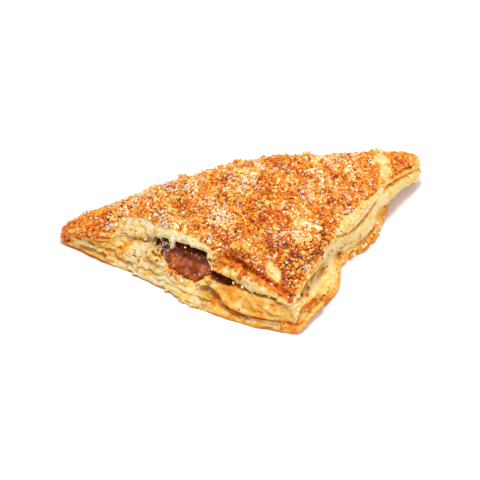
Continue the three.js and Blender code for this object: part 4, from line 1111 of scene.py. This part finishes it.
# ================================================================= the filling
fill = Field((-47, -18, 4.5), (49, 34, 31), 0.45)
G = Place(fill.X, fill.Y)
g_D, g_floor, g_top, _ = pocket(G, 0.0)
fill.leaf(g_D, g_floor, g_top, r=1.8)
frng = np.random.default_rng(5)
for i in range(26):  # cooked apple pieces that show in the mouth
    s = frng.uniform(0.42, 0.655)
    o = frng.uniform(-9.5, -0.5)
    if o > -4 and not 0.47 < s < 0.63:
        continue
    c = on_left(s, o, 0)
    zt = float(np.maximum(9.4, 16.0 - 0.62 * max(0, 9 + o)))
    c[2] = zt - frng.uniform(0.6, 1.6)
    a = frng.normal(size=3)
    a /= np.linalg.norm(a)
    b2 = np.cross(a, [0.3, 0.5, 0.8])
    b2 /= np.linalg.norm(b2)
    fill.blob(c, (a, b2, np.cross(a, b2)), (frng.uniform(1.6, 3.2), frng.uniform(1.3, 2.2), frng.uniform(1.0, 1.6)), k=0.8)
fill.F += 0.35 * rough3_grid(fill.xs, fill.ys, fill.zs, (3.4, 3.4, 2.6), 21)
fill.F += 0.14 * rough3_grid(fill.xs, fill.ys, fill.zs, (1.4, 1.4, 1.2), 22)
fv, ff = fill.skin()
fv, ff = largest_piece(fv, ff)
fv = relax(fv, edges_of(ff), 1, 0.4)
filling = thin(mesh_from("apple_in_syrup", fv, ff), 60_000)
fv, ft = arrays(filling)
fn = normals_of(fv, ft)
FQ = Place(fv[:, 0], fv[:, 1])
# painted shade: the filling is darker further into the mouth, with some random tone mixed in
set_floats(filling, "deep", smooth(-3, -9.5, -FQ.left) * 0.8 + 0.2 * np.clip(rough3(fv, 3.0, 23), 0, 1))
m, nt, bsdf = new_material("cooked_apple")
co = node(nt, "ShaderNodeTexCoord").outputs["Object"]
a = noise(nt, 300, 5, 0.65, co)
b = noise(nt, 1500, 3, 0.5, co)
v = maths(nt, "MULTIPLY_ADD", maths(nt, "SUBTRACT", b, 0.5), 0.35, a)
# painted shade: darker where the filling lies deep in the mouth
v = maths(nt, "MULTIPLY_ADD", attr(nt, "deep"), -0.30, v, clamp=True)
col = ramp(nt, v, [(0.14, lin(58, 18, 2)), (0.34, lin(106, 38, 2)), (0.46, lin(144, 60, 3)), (0.60, lin(180, 84, 6)), (0.74, lin(210, 120, 22)), (0.92, lin(232, 160, 66))])
nt.links.new(col, bsdf.inputs["Base Color"])
nt.links.new(maths(nt, "MULTIPLY_ADD", b, 0.34, 0.24), bsdf.inputs["Roughness"])
bsdf.inputs["Specular IOR Level"].default_value = 0.32
bsdf.inputs["Subsurface Weight"].default_value = 0.25
bsdf.inputs["Subsurface Radius"].default_value = (1.0, 0.35, 0.15)
bsdf.inputs["Subsurface Scale"].default_value = 0.002
bsdf.inputs["Coat Weight"].default_value = 0.04
bsdf.inputs["Coat Roughness"].default_value = 0.12
bump = node(nt, "ShaderNodeBump")
bump.inputs["Strength"].default_value = 0.5
bump.inputs["Distance"].default_value = 0.0004
nt.links.new(a, bump.inputs["Height"])
nt.links.new(bump.outputs[0], bsdf.inputs["Normal"])
filling.data.materials.clear()
filling.data.materials.append(m)
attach(filling, "root")
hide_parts("apple_filling")

# ================================================================= crumbs and sugar
# Real grains, set into the baked surface where they landed.
def ball(levels, base="ico"):
    if base == "ico":
        t = (1 + 5 ** 0.5) / 2
        v = np.array([(-1, t, 0), (1, t, 0), (-1, -t, 0), (1, -t, 0), (0, -1, t), (0, 1, t), (0, -1, -t), (0, 1, -t), (t, 0, -1), (t, 0, 1), (-t, 0, -1), (-t, 0, 1)], float)
        f = np.array([(0, 11, 5), (0, 5, 1), (0, 1, 7), (0, 7, 10), (0, 10, 11), (1, 5, 9), (5, 11, 4), (11, 10, 2), (10, 7, 6), (7, 1, 8), (3, 9, 4), (3, 4, 2), (3, 2, 6), (3, 6, 8), (3, 8, 9), (4, 9, 5), (2, 4, 11), (6, 2, 10), (8, 6, 7), (9, 8, 1)])
    else:
        v = np.array([(1, 0, 0), (-1, 0, 0), (0, 1, 0), (0, -1, 0), (0, 0, 1), (0, 0, -1)], float)
        f = np.array([(0, 2, 4), (2, 1, 4), (1, 3, 4), (3, 0, 4), (2, 0, 5), (1, 2, 5), (3, 1, 5), (0, 3, 5)])
    v = v / np.linalg.norm(v, axis=1, keepdims=True)
    for _ in range(levels):
        e = np.concatenate([f[:, [0, 1]], f[:, [1, 2]], f[:, [2, 0]]])
        e.sort(1)
        u, inv = np.unique(e, axis=0, return_inverse=True)
        inv = inv.reshape(-1)
        m = v[u[:, 0]] + v[u[:, 1]]
        m /= np.linalg.norm(m, axis=1, keepdims=True)
        p, q, r = (inv[i * len(f):(i + 1) * len(f)] + len(v) for i in range(3))
        f = np.concatenate([np.stack([f[:, 0], p, r], 1), np.stack([f[:, 1], q, p], 1), np.stack([f[:, 2], r, q], 1), np.stack([p, q, r], 1)])
        v = np.concatenate([v, m])
    return v, f


CRYSTAL = (np.array([(x, y, z_) for x in (-1, 1) for y in (-1, 1) for z_ in (-1, 1)], float) * 0.7,
           np.array([(0, 1, 3), (0, 3, 2), (4, 6, 7), (4, 7, 5), (0, 4, 5), (0, 5, 1), (2, 3, 7), (2, 7, 6), (0, 2, 6), (0, 6, 4), (1, 5, 7), (1, 7, 3)]))


def turns(n, r):
    q = r.normal(size=(n, 4))
    q /= np.linalg.norm(q, axis=1, keepdims=True)
    w, x, y, z_ = q.T
    return np.stack([1 - 2 * (y * y + z_ * z_), 2 * (x * y - z_ * w), 2 * (x * z_ + y * w), 2 * (x * y + z_ * w), 1 - 2 * (x * x + z_ * z_), 2 * (y * z_ - x * w), 2 * (x * z_ - y * w), 2 * (y * z_ + x * w), 1 - 2 * (x * x + y * y)], 1).reshape(n, 3, 3)


def strew(name, centres, sizes, base, r, uneven=0.16, thin_=0.7):
    """One mesh of many grains, each an uneven turned copy of the base shape."""
    bv, bf = base
    n = len(centres)
    rad = 1 + uneven * r.normal(size=(n, len(bv), 1)).clip(-2, 2)
    pts = bv[None] * rad * r.uniform(thin_, 1.2, size=(n, 1, 3))
    pts = np.einsum("nij,nkj->nki", turns(n, r), pts) * sizes[:, None, None] + centres[:, None, :]
    pts[:, :, 2] += (np.maximum(0.02 - pts[:, :, 2].min(1), 0) - np.maximum(pts[:, :, 2].max(1) - 37.3, 0))[:, None]
    f = (bf[None] + (np.arange(n) * len(bv))[:, None, None]).reshape(-1, 3)
    return mesh_from(name, pts.reshape(-1, 3), f), len(bv)


tri_c = cv[ct].mean(1)
tri_n = np.cross(cv[ct[:, 1]] - cv[ct[:, 0]], cv[ct[:, 2]] - cv[ct[:, 0]])
tri_a = np.linalg.norm(tri_n, axis=1) / 2
tri_n /= np.maximum(2 * tri_a, 1e-9)[:, None]
T = Place(tri_c[:, 0], tri_c[:, 1])
tq_l, tq_r = crust_reach(T)
tri_top = on_top[ct].mean(1)
tri_fold = on_fold[ct].mean(1)
tri_up = smooth(0.15, 0.55, tri_n[:, 2])
open_sky = open_[ct].mean(1)
tx, ty = tri_c[:, 0], tri_c[:, 1]
t_patch = pale_spot(tx, ty, 0.2 * rough2(tx, ty, 3.0, 401))
t_dark = dark_spot(tx, ty)
patchy = np.clip(0.75 + 0.55 * rough2(tx, ty, 7.0, 402) + 0.35 * rough2(tx, ty, 2.6, 403), 0.05, 1.6)
# few grains on the two tips and along the crust's edge on the right, most in the middle
main_zone = smooth(-66, -56, tx) * (1 - 0.74 * smooth(36, 56, tx) * smooth(4, 14, ty) - 0.3 * smooth(38, 60, tx) * smooth(14, 4, ty)) * (1 - 0.45 * smooth(5.5, 1.0, tq_r) * smooth(10, 30, tx))
main_zone = main_zone * (1 - 0.35 * smooth(14, 2, T.right) * smooth(-30, -10, ty))
top_density = tri_top * (0.10 + 0.90 * main_zone) * (1 - 0.93 * t_patch) * patchy
ledge = (1 - tri_top) * tri_up * smooth(0.35, 0.7, open_sky) * (T.fold > 3)
lobe_zone = band(T.sr, 0.40, 0.66, 0.03) * smooth(8.5, 6.5, tri_c[:, 2]) * (T.right < 8)
sill = band(T.sl, 0.47, 0.60, 0.02) * smooth(8, 6, T.left) * smooth(6, 7.5, tri_c[:, 2]) * smooth(12, 10, tri_c[:, 2])
at_flap = band(T.sl, 0.675, 0.985, 0.012) * smooth(1.3, 0.5, T.left - curve(FLAP_GROOVE, T.sl)) * smooth(7.0, 5.0, T.top - tri_c[:, 2])
flap_top = 0.12 * band(T.sl, 0.69, 0.97, 0.02) * smooth(-6.6, -5.4, -T.left) * smooth(4.0, 2.6, T.top - tri_c[:, 2]) * (1 - tri_top)
tear = band(T.sl, 0.235, 0.40, 0.02) * smooth(14, 12, T.left) * smooth(11, 13, tri_c[:, 2]) * (1 - tri_top)
near_crease = smooth(1.7, 0.8, np.abs(tx - (23.4 + 0.24 * (ty + 4.5)))) * band(ty, -13.0, 3.5, 1.0)
by_flap = smooth(0.64, 0.70, T.sl) * smooth(13.0, 6.0, T.left)
nose = smooth(-75, -80, tx)
top_density = top_density * (1 - 0.85 * nose) * (1 - 0.6 * near_crease) * (1 - 0.94 * at_flap) * (1 - 0.35 * by_flap) * (1 - 0.9 * smooth(62, 69, tx))
density = top_density + 0.03 * ledge * patchy + 0.5 * ledge * lobe_zone + 0.8 * ledge * sill + 0.5 * flap_top * tri_up + 0.08 * tear
density = density * (1 - 0.8 * at_flap) + 0.05 * tri_fold * (1 - tri_top) * patchy


def scatter(n, weight, r):
    w = tri_a * np.maximum(weight, 0)
    pick = r.choice(len(w), n, p=w / w.sum())
    u, v_ = r.random(n), r.random(n)
    flip = u + v_ > 1
    u, v_ = np.where(flip, 1 - u, u), np.where(flip, 1 - v_, v_)
    a, b, c = (cv[ct[pick, i]] for i in range(3))
    p = a + (b - a) * u[:, None] + (c - a) * v_[:, None]
    na, nb, nc = (cn[ct[pick, i]] for i in range(3))
    nn = na + (nb - na) * u[:, None] + (nc - na) * v_[:, None]
    nn /= np.maximum(np.linalg.norm(nn, axis=1, keepdims=True), 1e-9)
    return p, nn, pick


def tones(p, r, n):
    """0 pale gold … 1 dark brown, more of the dark ones where the crust is dark."""
    base = r.choice([0.16, 0.32, 0.46, 0.62], n, p=[0.16, 0.29, 0.33, 0.22])
    d = dark_spot(p[:, 0], p[:, 1])
    # painted shade: grains along the crease are darker
    cr = smooth(1.6, 0.5, np.abs(p[:, 0] - (23.4 + 0.24 * (p[:, 1] + 4.5)))) * band(p[:, 1], -13.0, 3.5, 1.0)
    return np.clip(base + 0.07 * r.normal(size=n) + 0.24 * d * r.random(n) + 0.23 * rough2(p[:, 0], p[:, 1], 6.0, 405) + 0.16 * rough2(p[:, 0], p[:, 1], 2.4, 406) + 0.25 * cr - 0.06 * smooth(15, 35, p[:, 0]) + 0.17 * smooth(-6, -18, p[:, 1]) - 0.12 * (Place(p[:, 0], p[:, 1]).top - p[:, 2] > 3.2), 0, 1)


def finish_grains(ob, count_per, tone, mat, even=False):
    set_floats(ob, "tone", np.repeat(tone, count_per))
    if even:
        ob.data.shade_smooth()
    ob.data.materials.append(mat)
    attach(ob, "root")


crumb_mat, nt, bsdf = new_material("baked_crumb")
co = node(nt, "ShaderNodeTexCoord").outputs["Object"]
speck = noise(nt, 1700, 2, 0.5, co)
v = maths(nt, "MULTIPLY_ADD", maths(nt, "SUBTRACT", speck, 0.5), 0.35, attr(nt, "tone"), clamp=True)
col = ramp(nt, v, [(0.0, lin(255, 242, 208)), (0.16, lin(252, 214, 134)), (0.34, lin(245, 174, 58)), (0.50, lin(236, 138, 20)), (0.66, lin(210, 100, 8)), (0.82, lin(156, 60, 8)), (1.0, lin(98, 36, 12))])
nt.links.new(col, bsdf.inputs["Base Color"])
nt.links.new(maths(nt, "MULTIPLY_ADD", speck, 0.4, 0.18), bsdf.inputs["Roughness"])
bsdf.inputs["Subsurface Weight"].default_value = 0.15
bsdf.inputs["Subsurface Radius"].default_value = (1.0, 0.5, 0.2)
bsdf.inputs["Subsurface Scale"].default_value = 0.0006
bsdf.inputs["IOR"].default_value = 1.4
bump = node(nt, "ShaderNodeBump")
bump.inputs["Strength"].default_value = 0.5
bump.inputs["Distance"].default_value = 0.0002
nt.links.new(speck, bump.inputs["Height"])
nt.links.new(bump.outputs[0], bsdf.inputs["Normal"])

sugar_mat, nt, bsdf = new_material("sugar")
co = node(nt, "ShaderNodeTexCoord").outputs["Object"]
speck = noise(nt, 2200, 2, 0.5, co)
nt.links.new(ramp(nt, speck, [(0.3, lin(244, 222, 202)), (0.6, lin(253, 242, 230))]), bsdf.inputs["Base Color"])
nt.links.new(maths(nt, "MULTIPLY_ADD", speck, 0.3, 0.10), bsdf.inputs["Roughness"])
bsdf.inputs["Subsurface Weight"].default_value = 0.35
bsdf.inputs["Subsurface Radius"].default_value = (1.0, 0.8, 0.6)
bsdf.inputs["Subsurface Scale"].default_value = 0.0006

less = 1.0
r = np.random.default_rng(31)


def strands(name, paths, sides=6):
    """Round threads through points, closed at both ends, in one mesh."""
    V, Fq, base = [], [], 0
    for pts, rad in paths:
        pts = np.array(pts, float)
        t = np.linspace(0, 1, len(pts))
        u = np.linspace(0, 1, 9)
        pts = flow(t, pts, u)
        rad = np.interp(u, t, rad)
        d = np.gradient(pts, axis=0)
        d /= np.linalg.norm(d, axis=1, keepdims=True)
        a = np.cross(d, [0.3, 0.8, 0.5])
        a /= np.linalg.norm(a, axis=1, keepdims=True)
        b = np.cross(d, a)
        ang = np.linspace(0, 2 * np.pi, sides, endpoint=False)
        ring = pts[:, None] + rad[:, None, None] * (np.cos(ang)[None, :, None] * a[:, None] + np.sin(ang)[None, :, None] * b[:, None])
        V.append(ring.reshape(-1, 3))
        V.append(pts[[0, -1]] - d[[0, -1]] * np.array([[0.4], [-0.4]]) * rad[[0, -1]][:, None])
        n = len(u)
        for i in range(n - 1):
            for j in range(sides):
                k0, k1 = base + i * sides + j, base + i * sides + (j + 1) % sides
                Fq += [(k0, k1, k1 + sides), (k0, k1 + sides, k0 + sides)]
        c0, c1 = base + n * sides, base + n * sides + 1
        for j in range(sides):
            Fq.append((c0, base + (j + 1) % sides, base + j))
            Fq.append((c1, base + (n - 1) * sides + j, base + (n - 1) * sides + (j + 1) % sides))
        base += n * sides + 2
    return mesh_from(name, np.concatenate(V), np.array(Fq))


paths = []
for i in range(4):  # torn threads beside the flap
    s = r.uniform(.605, .655)
    a = on_left(s, r.uniform(-8.6, -7.0), r.uniform(17.0, 18.8))
    b = on_left(s + r.uniform(.01, .05), r.uniform(-5.6, -3.4), r.uniform(12.8, 15.6))
    m1, m2 = a + (b - a) * .35 + r.normal(0, 1.1, 3), a + (b - a) * .7 + r.normal(0, 1.1, 3)
    paths.append(([a, m1, m2, b], [r.uniform(.5, .8), r.uniform(.3, .5), r.uniform(.25, .4), r.uniform(.5, .7)]))
for i in range(6):  # shreds that hang from the flap's lower edge and the lip
    s = (.755, .79, .838, .90, .455, .52)[i]
    a = on_left(s, -0.4, 14.1) if i < 4 else on_left(s, -6.8, 17.4)
    b = a + np.array([r.uniform(-.7, .7), r.uniform(-.8, .2), -r.uniform(.7, 1.3)])
    paths.append(([a, (a + b) / 2 + r.normal(0, .15, 3), b], [.55, .40, .15]))
ob = strands("dough_threads", paths)
set_floats(ob, "tone", np.clip(0.08 + 0.06 * r.normal(size=len(ob.data.vertices)), 0, 1))
ob.data.shade_smooth()
ob.data.materials.append(crumb_mat)
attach(ob, "root")

# clusters: grains baked together in lumps of two to four millimetres
n = int(330 * less)
where = top_density * smooth(2.0, 4.0, np.minimum(tq_l, tq_r)) * (0.25 + 1.2 * t_dark + 0.9 * smooth(0.1, 0.7, rough2(tx, ty, 9.0, 410)))
p, nn, _ = scatter(n, where, r)
p = np.concatenate([p, np.array([(-13.6, -13.0, 24.6), (-8.8, -16.2, 24.2), (-18.2, -9.0, 23.9)])])
nn = np.concatenate([nn, np.array([(-0.2, -0.3, 0.93)] * 3)])
cen, siz, ton = [], [], []
for i in range(len(p)):
    big = r.uniform(0.55, 1.0) if i < n else 1.15
    m = int(r.integers(5, 10)) if i < n else 12
    spread = r.normal(size=(m, 3)) * big * 0.62
    spread -= nn[i] * np.minimum(spread @ nn[i] + 0.25 * big, 0)[:, None]
    cen.append(p[i] + spread + nn[i] * 0.25 * big)
    siz.append(r.uniform(0.50, 0.95, m) * big)
    ton.append(np.full(m, r.choice([0.24, 0.38, 0.52, 0.66], p=[0.34, 0.38, 0.20, 0.08])) + 0.09 * r.normal(size=m))
cen, siz, ton = np.concatenate(cen), np.concatenate(siz), np.clip(np.concatenate(ton), 0, 1)
ob, k = strew("crumb_clusters", cen, siz, ball(1, "oct"), r, 0.20, 0.6)
finish_grains(ob, k, ton, crumb_mat)

n = int(6100 * less)
p, nn, _ = scatter(n, density, r)
size = np.clip(r.lognormal(-0.50, 0.28, n), 0.32, 1.15)
p = p + nn * (size * r.uniform(-0.35, 0.30, n))[:, None]
ob, k = strew("crumbs_coarse", p, size, ball(1, "oct"), r, 0.23, 0.55)
finish_grains(ob, k, tones(p, r, n), crumb_mat)

n = int(4300 * less)
p, nn, _ = scatter(n, density + 0.04 * tri_top * smooth(-70, -60, tx) * (1 - smooth(60, 68, tx)) * (1 - 0.9 * at_flap), r)
size = r.uniform(0.28, 0.52, n)
p = p + nn * (size * r.uniform(-0.3, 0.8, n))[:, None]
ob, k = strew("crumbs_middling", p, size, ball(1, "oct"), r, 0.24, 0.55)
finish_grains(ob, k, tones(p, r, n), crumb_mat)

n = int(7300 * less)
p, nn, _ = scatter(n, density + 0.12 * tri_top * (1 - 0.75 * nose) * (1 - 0.9 * t_patch) * (1 - 0.9 * at_flap), r)
size = r.uniform(0.15, 0.34, n)
p = p + nn * (size * r.uniform(0.0, 1.4, n))[:, None]
ob, k = strew("crumbs_fine", p, size, ball(0), r, 0.16)
finish_grains(ob, k, np.clip(tones(p, r, n) - 0.05, 0, 1), crumb_mat, False)

n = int(860 * less)
dusting = smooth(-0.05, 0.75, rough2(tx, ty, 7.0, 420) + 0.5 * rough2(tx, ty, 2.4, 421))
sweet = tri_top * (1 - 0.95 * smooth(60, 68, tx)) * (1 - 0.8 * smooth(-72, -77, tx)) * (1 - 0.6 * by_flap) * (0.30 + 0.70 * main_zone) * (1 - 0.6 * t_patch) * (0.14 + 1.5 * dusting) * (1 + 1.0 * smooth(10, -30, tx)) * (1 - 0.9 * at_flap) + 0.35 * ledge * (sill + 1.3 * tear + 0.10)
p, nn, _ = scatter(n, sweet, r)
heap = np.clip(r.poisson(13.0, n), 2, 30)
p, nn = np.repeat(p, heap, 0), np.repeat(nn, heap, 0)
n = len(p)
side_step = r.normal(size=(n, 3)) * np.repeat(r.uniform(0.14, 0.40, len(heap)), heap)[:, None]
side_step -= nn * np.einsum("ij,ij->i", side_step, nn)[:, None]
size = r.uniform(0.11, 0.27, n)
p = p + side_step + nn * (size * r.uniform(0.3, 0.9, n) + r.uniform(0, 0.3, n) + np.repeat(r.uniform(0.0, 0.5, len(heap)), heap))[:, None]
# some fell on the filling
fc, fnn = fv[ft].mean(1), fn[ft].mean(1)
wf = smooth(0.1, 0.5, fnn[:, 2]) * smooth(9, 7, Place(fc[:, 0], fc[:, 1]).left) * smooth(0.2, 0.6, rough2(fc[:, 0], fc[:, 1], 3.0, 430) + 0.4) * np.linalg.norm(np.cross(fv[ft[:, 1]] - fv[ft[:, 0]], fv[ft[:, 2]] - fv[ft[:, 0]]), axis=1)
wf = wf * (1 + 9 * smooth(0.475, 0.425, Place(fc[:, 0], fc[:, 1]).sl))
pick = r.choice(len(wf), int(190 * less), p=wf / wf.sum())
p = np.concatenate([p, fc[pick] + fnn[pick] * 0.15 + r.normal(0, 0.25, (len(pick), 3))])
size = np.concatenate([size, r.uniform(0.12, 0.30, len(pick))])
# and some caught on the dough that hangs from the lip
drip = np.stack([on_left(.470 + r.normal(0, .006), -5.9 + r.normal(0, .45), 17.2 + r.normal(0, .75)) for _ in range(int(90 * less))])
p, size = np.concatenate([p, drip]), np.concatenate([size, r.uniform(0.14, 0.30, len(drip))])
ob, k = strew("sugar_grains", p, size, CRYSTAL, r, 0.08, 0.6)
ob.data.materials.append(sugar_mat)
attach(ob, "root")

# ================================================================= floor, light, camera
fl = bpy.data.meshes.new("floor")
S = 3.0
fl.from_pydata([(-S, -S, 0), (S, -S, 0), (S, S, 0), (-S, S, 0)], [], [(0, 1, 2, 3)])
floor = bpy.data.objects.new("floor", fl)
bpy.context.scene.collection.objects.link(floor)
floor.location.z = -0.00002
fm, nt, bsdf = new_material("pale_floor")
bsdf.inputs["Base Color"].default_value = (0.93, 0.93, 0.93, 1)
bsdf.inputs["Roughness"].default_value = 0.6
fl.materials.append(fm)

world = bpy.data.worlds.new("studio")
bpy.context.scene.world = world
world.use_nodes = True
world.node_tree.nodes["Background"].inputs[0].default_value = (1, 1, 1, 1)
world.node_tree.nodes["Background"].inputs[1].default_value = 0.56


def area(name, at, aim, size, power, colour=(1, 1, 1)):
    l = bpy.data.lights.new(name, "AREA")
    l.shape = "DISK"
    l.size = size
    l.energy = power
    l.color = colour
    o = bpy.data.objects.new(name, l)
    o.location = at
    o.rotation_euler = (Vector(aim) - Vector(at)).to_track_quat("-Z", "Y").to_euler()
    bpy.context.scene.collection.objects.link(o)
    return o


area("key", (-0.05, -0.10, 0.66), (0, 0, 0.01), 0.20, 3.5)
area("fill", (0.50, -0.50, 0.38), (0, 0, 0.01), 0.5, 1.7)

scene = bpy.context.scene
scene.view_settings.view_transform = "Standard"
AZ, EL, DIST = math.radians(-14.4), math.radians(38.9), 0.700
target = (np.array([-10.75, 4.8, 15.0]) + MOVE) * MM
back = np.array([math.sin(AZ) * math.cos(EL), -math.cos(AZ) * math.cos(EL), math.sin(EL)])
cam_data = bpy.data.cameras.new("camera")
cam_data.sensor_width = 36
cam_data.lens = 1612 / 480 * 36
cam_data.clip_start = 0.01
camera = bpy.data.objects.new("camera", cam_data)
camera.location = Vector(target + back * DIST)
camera.rotation_euler = Vector(-back).to_track_quat("-Z", "Y").to_euler()
scene.collection.objects.link(camera)
scene.camera = camera
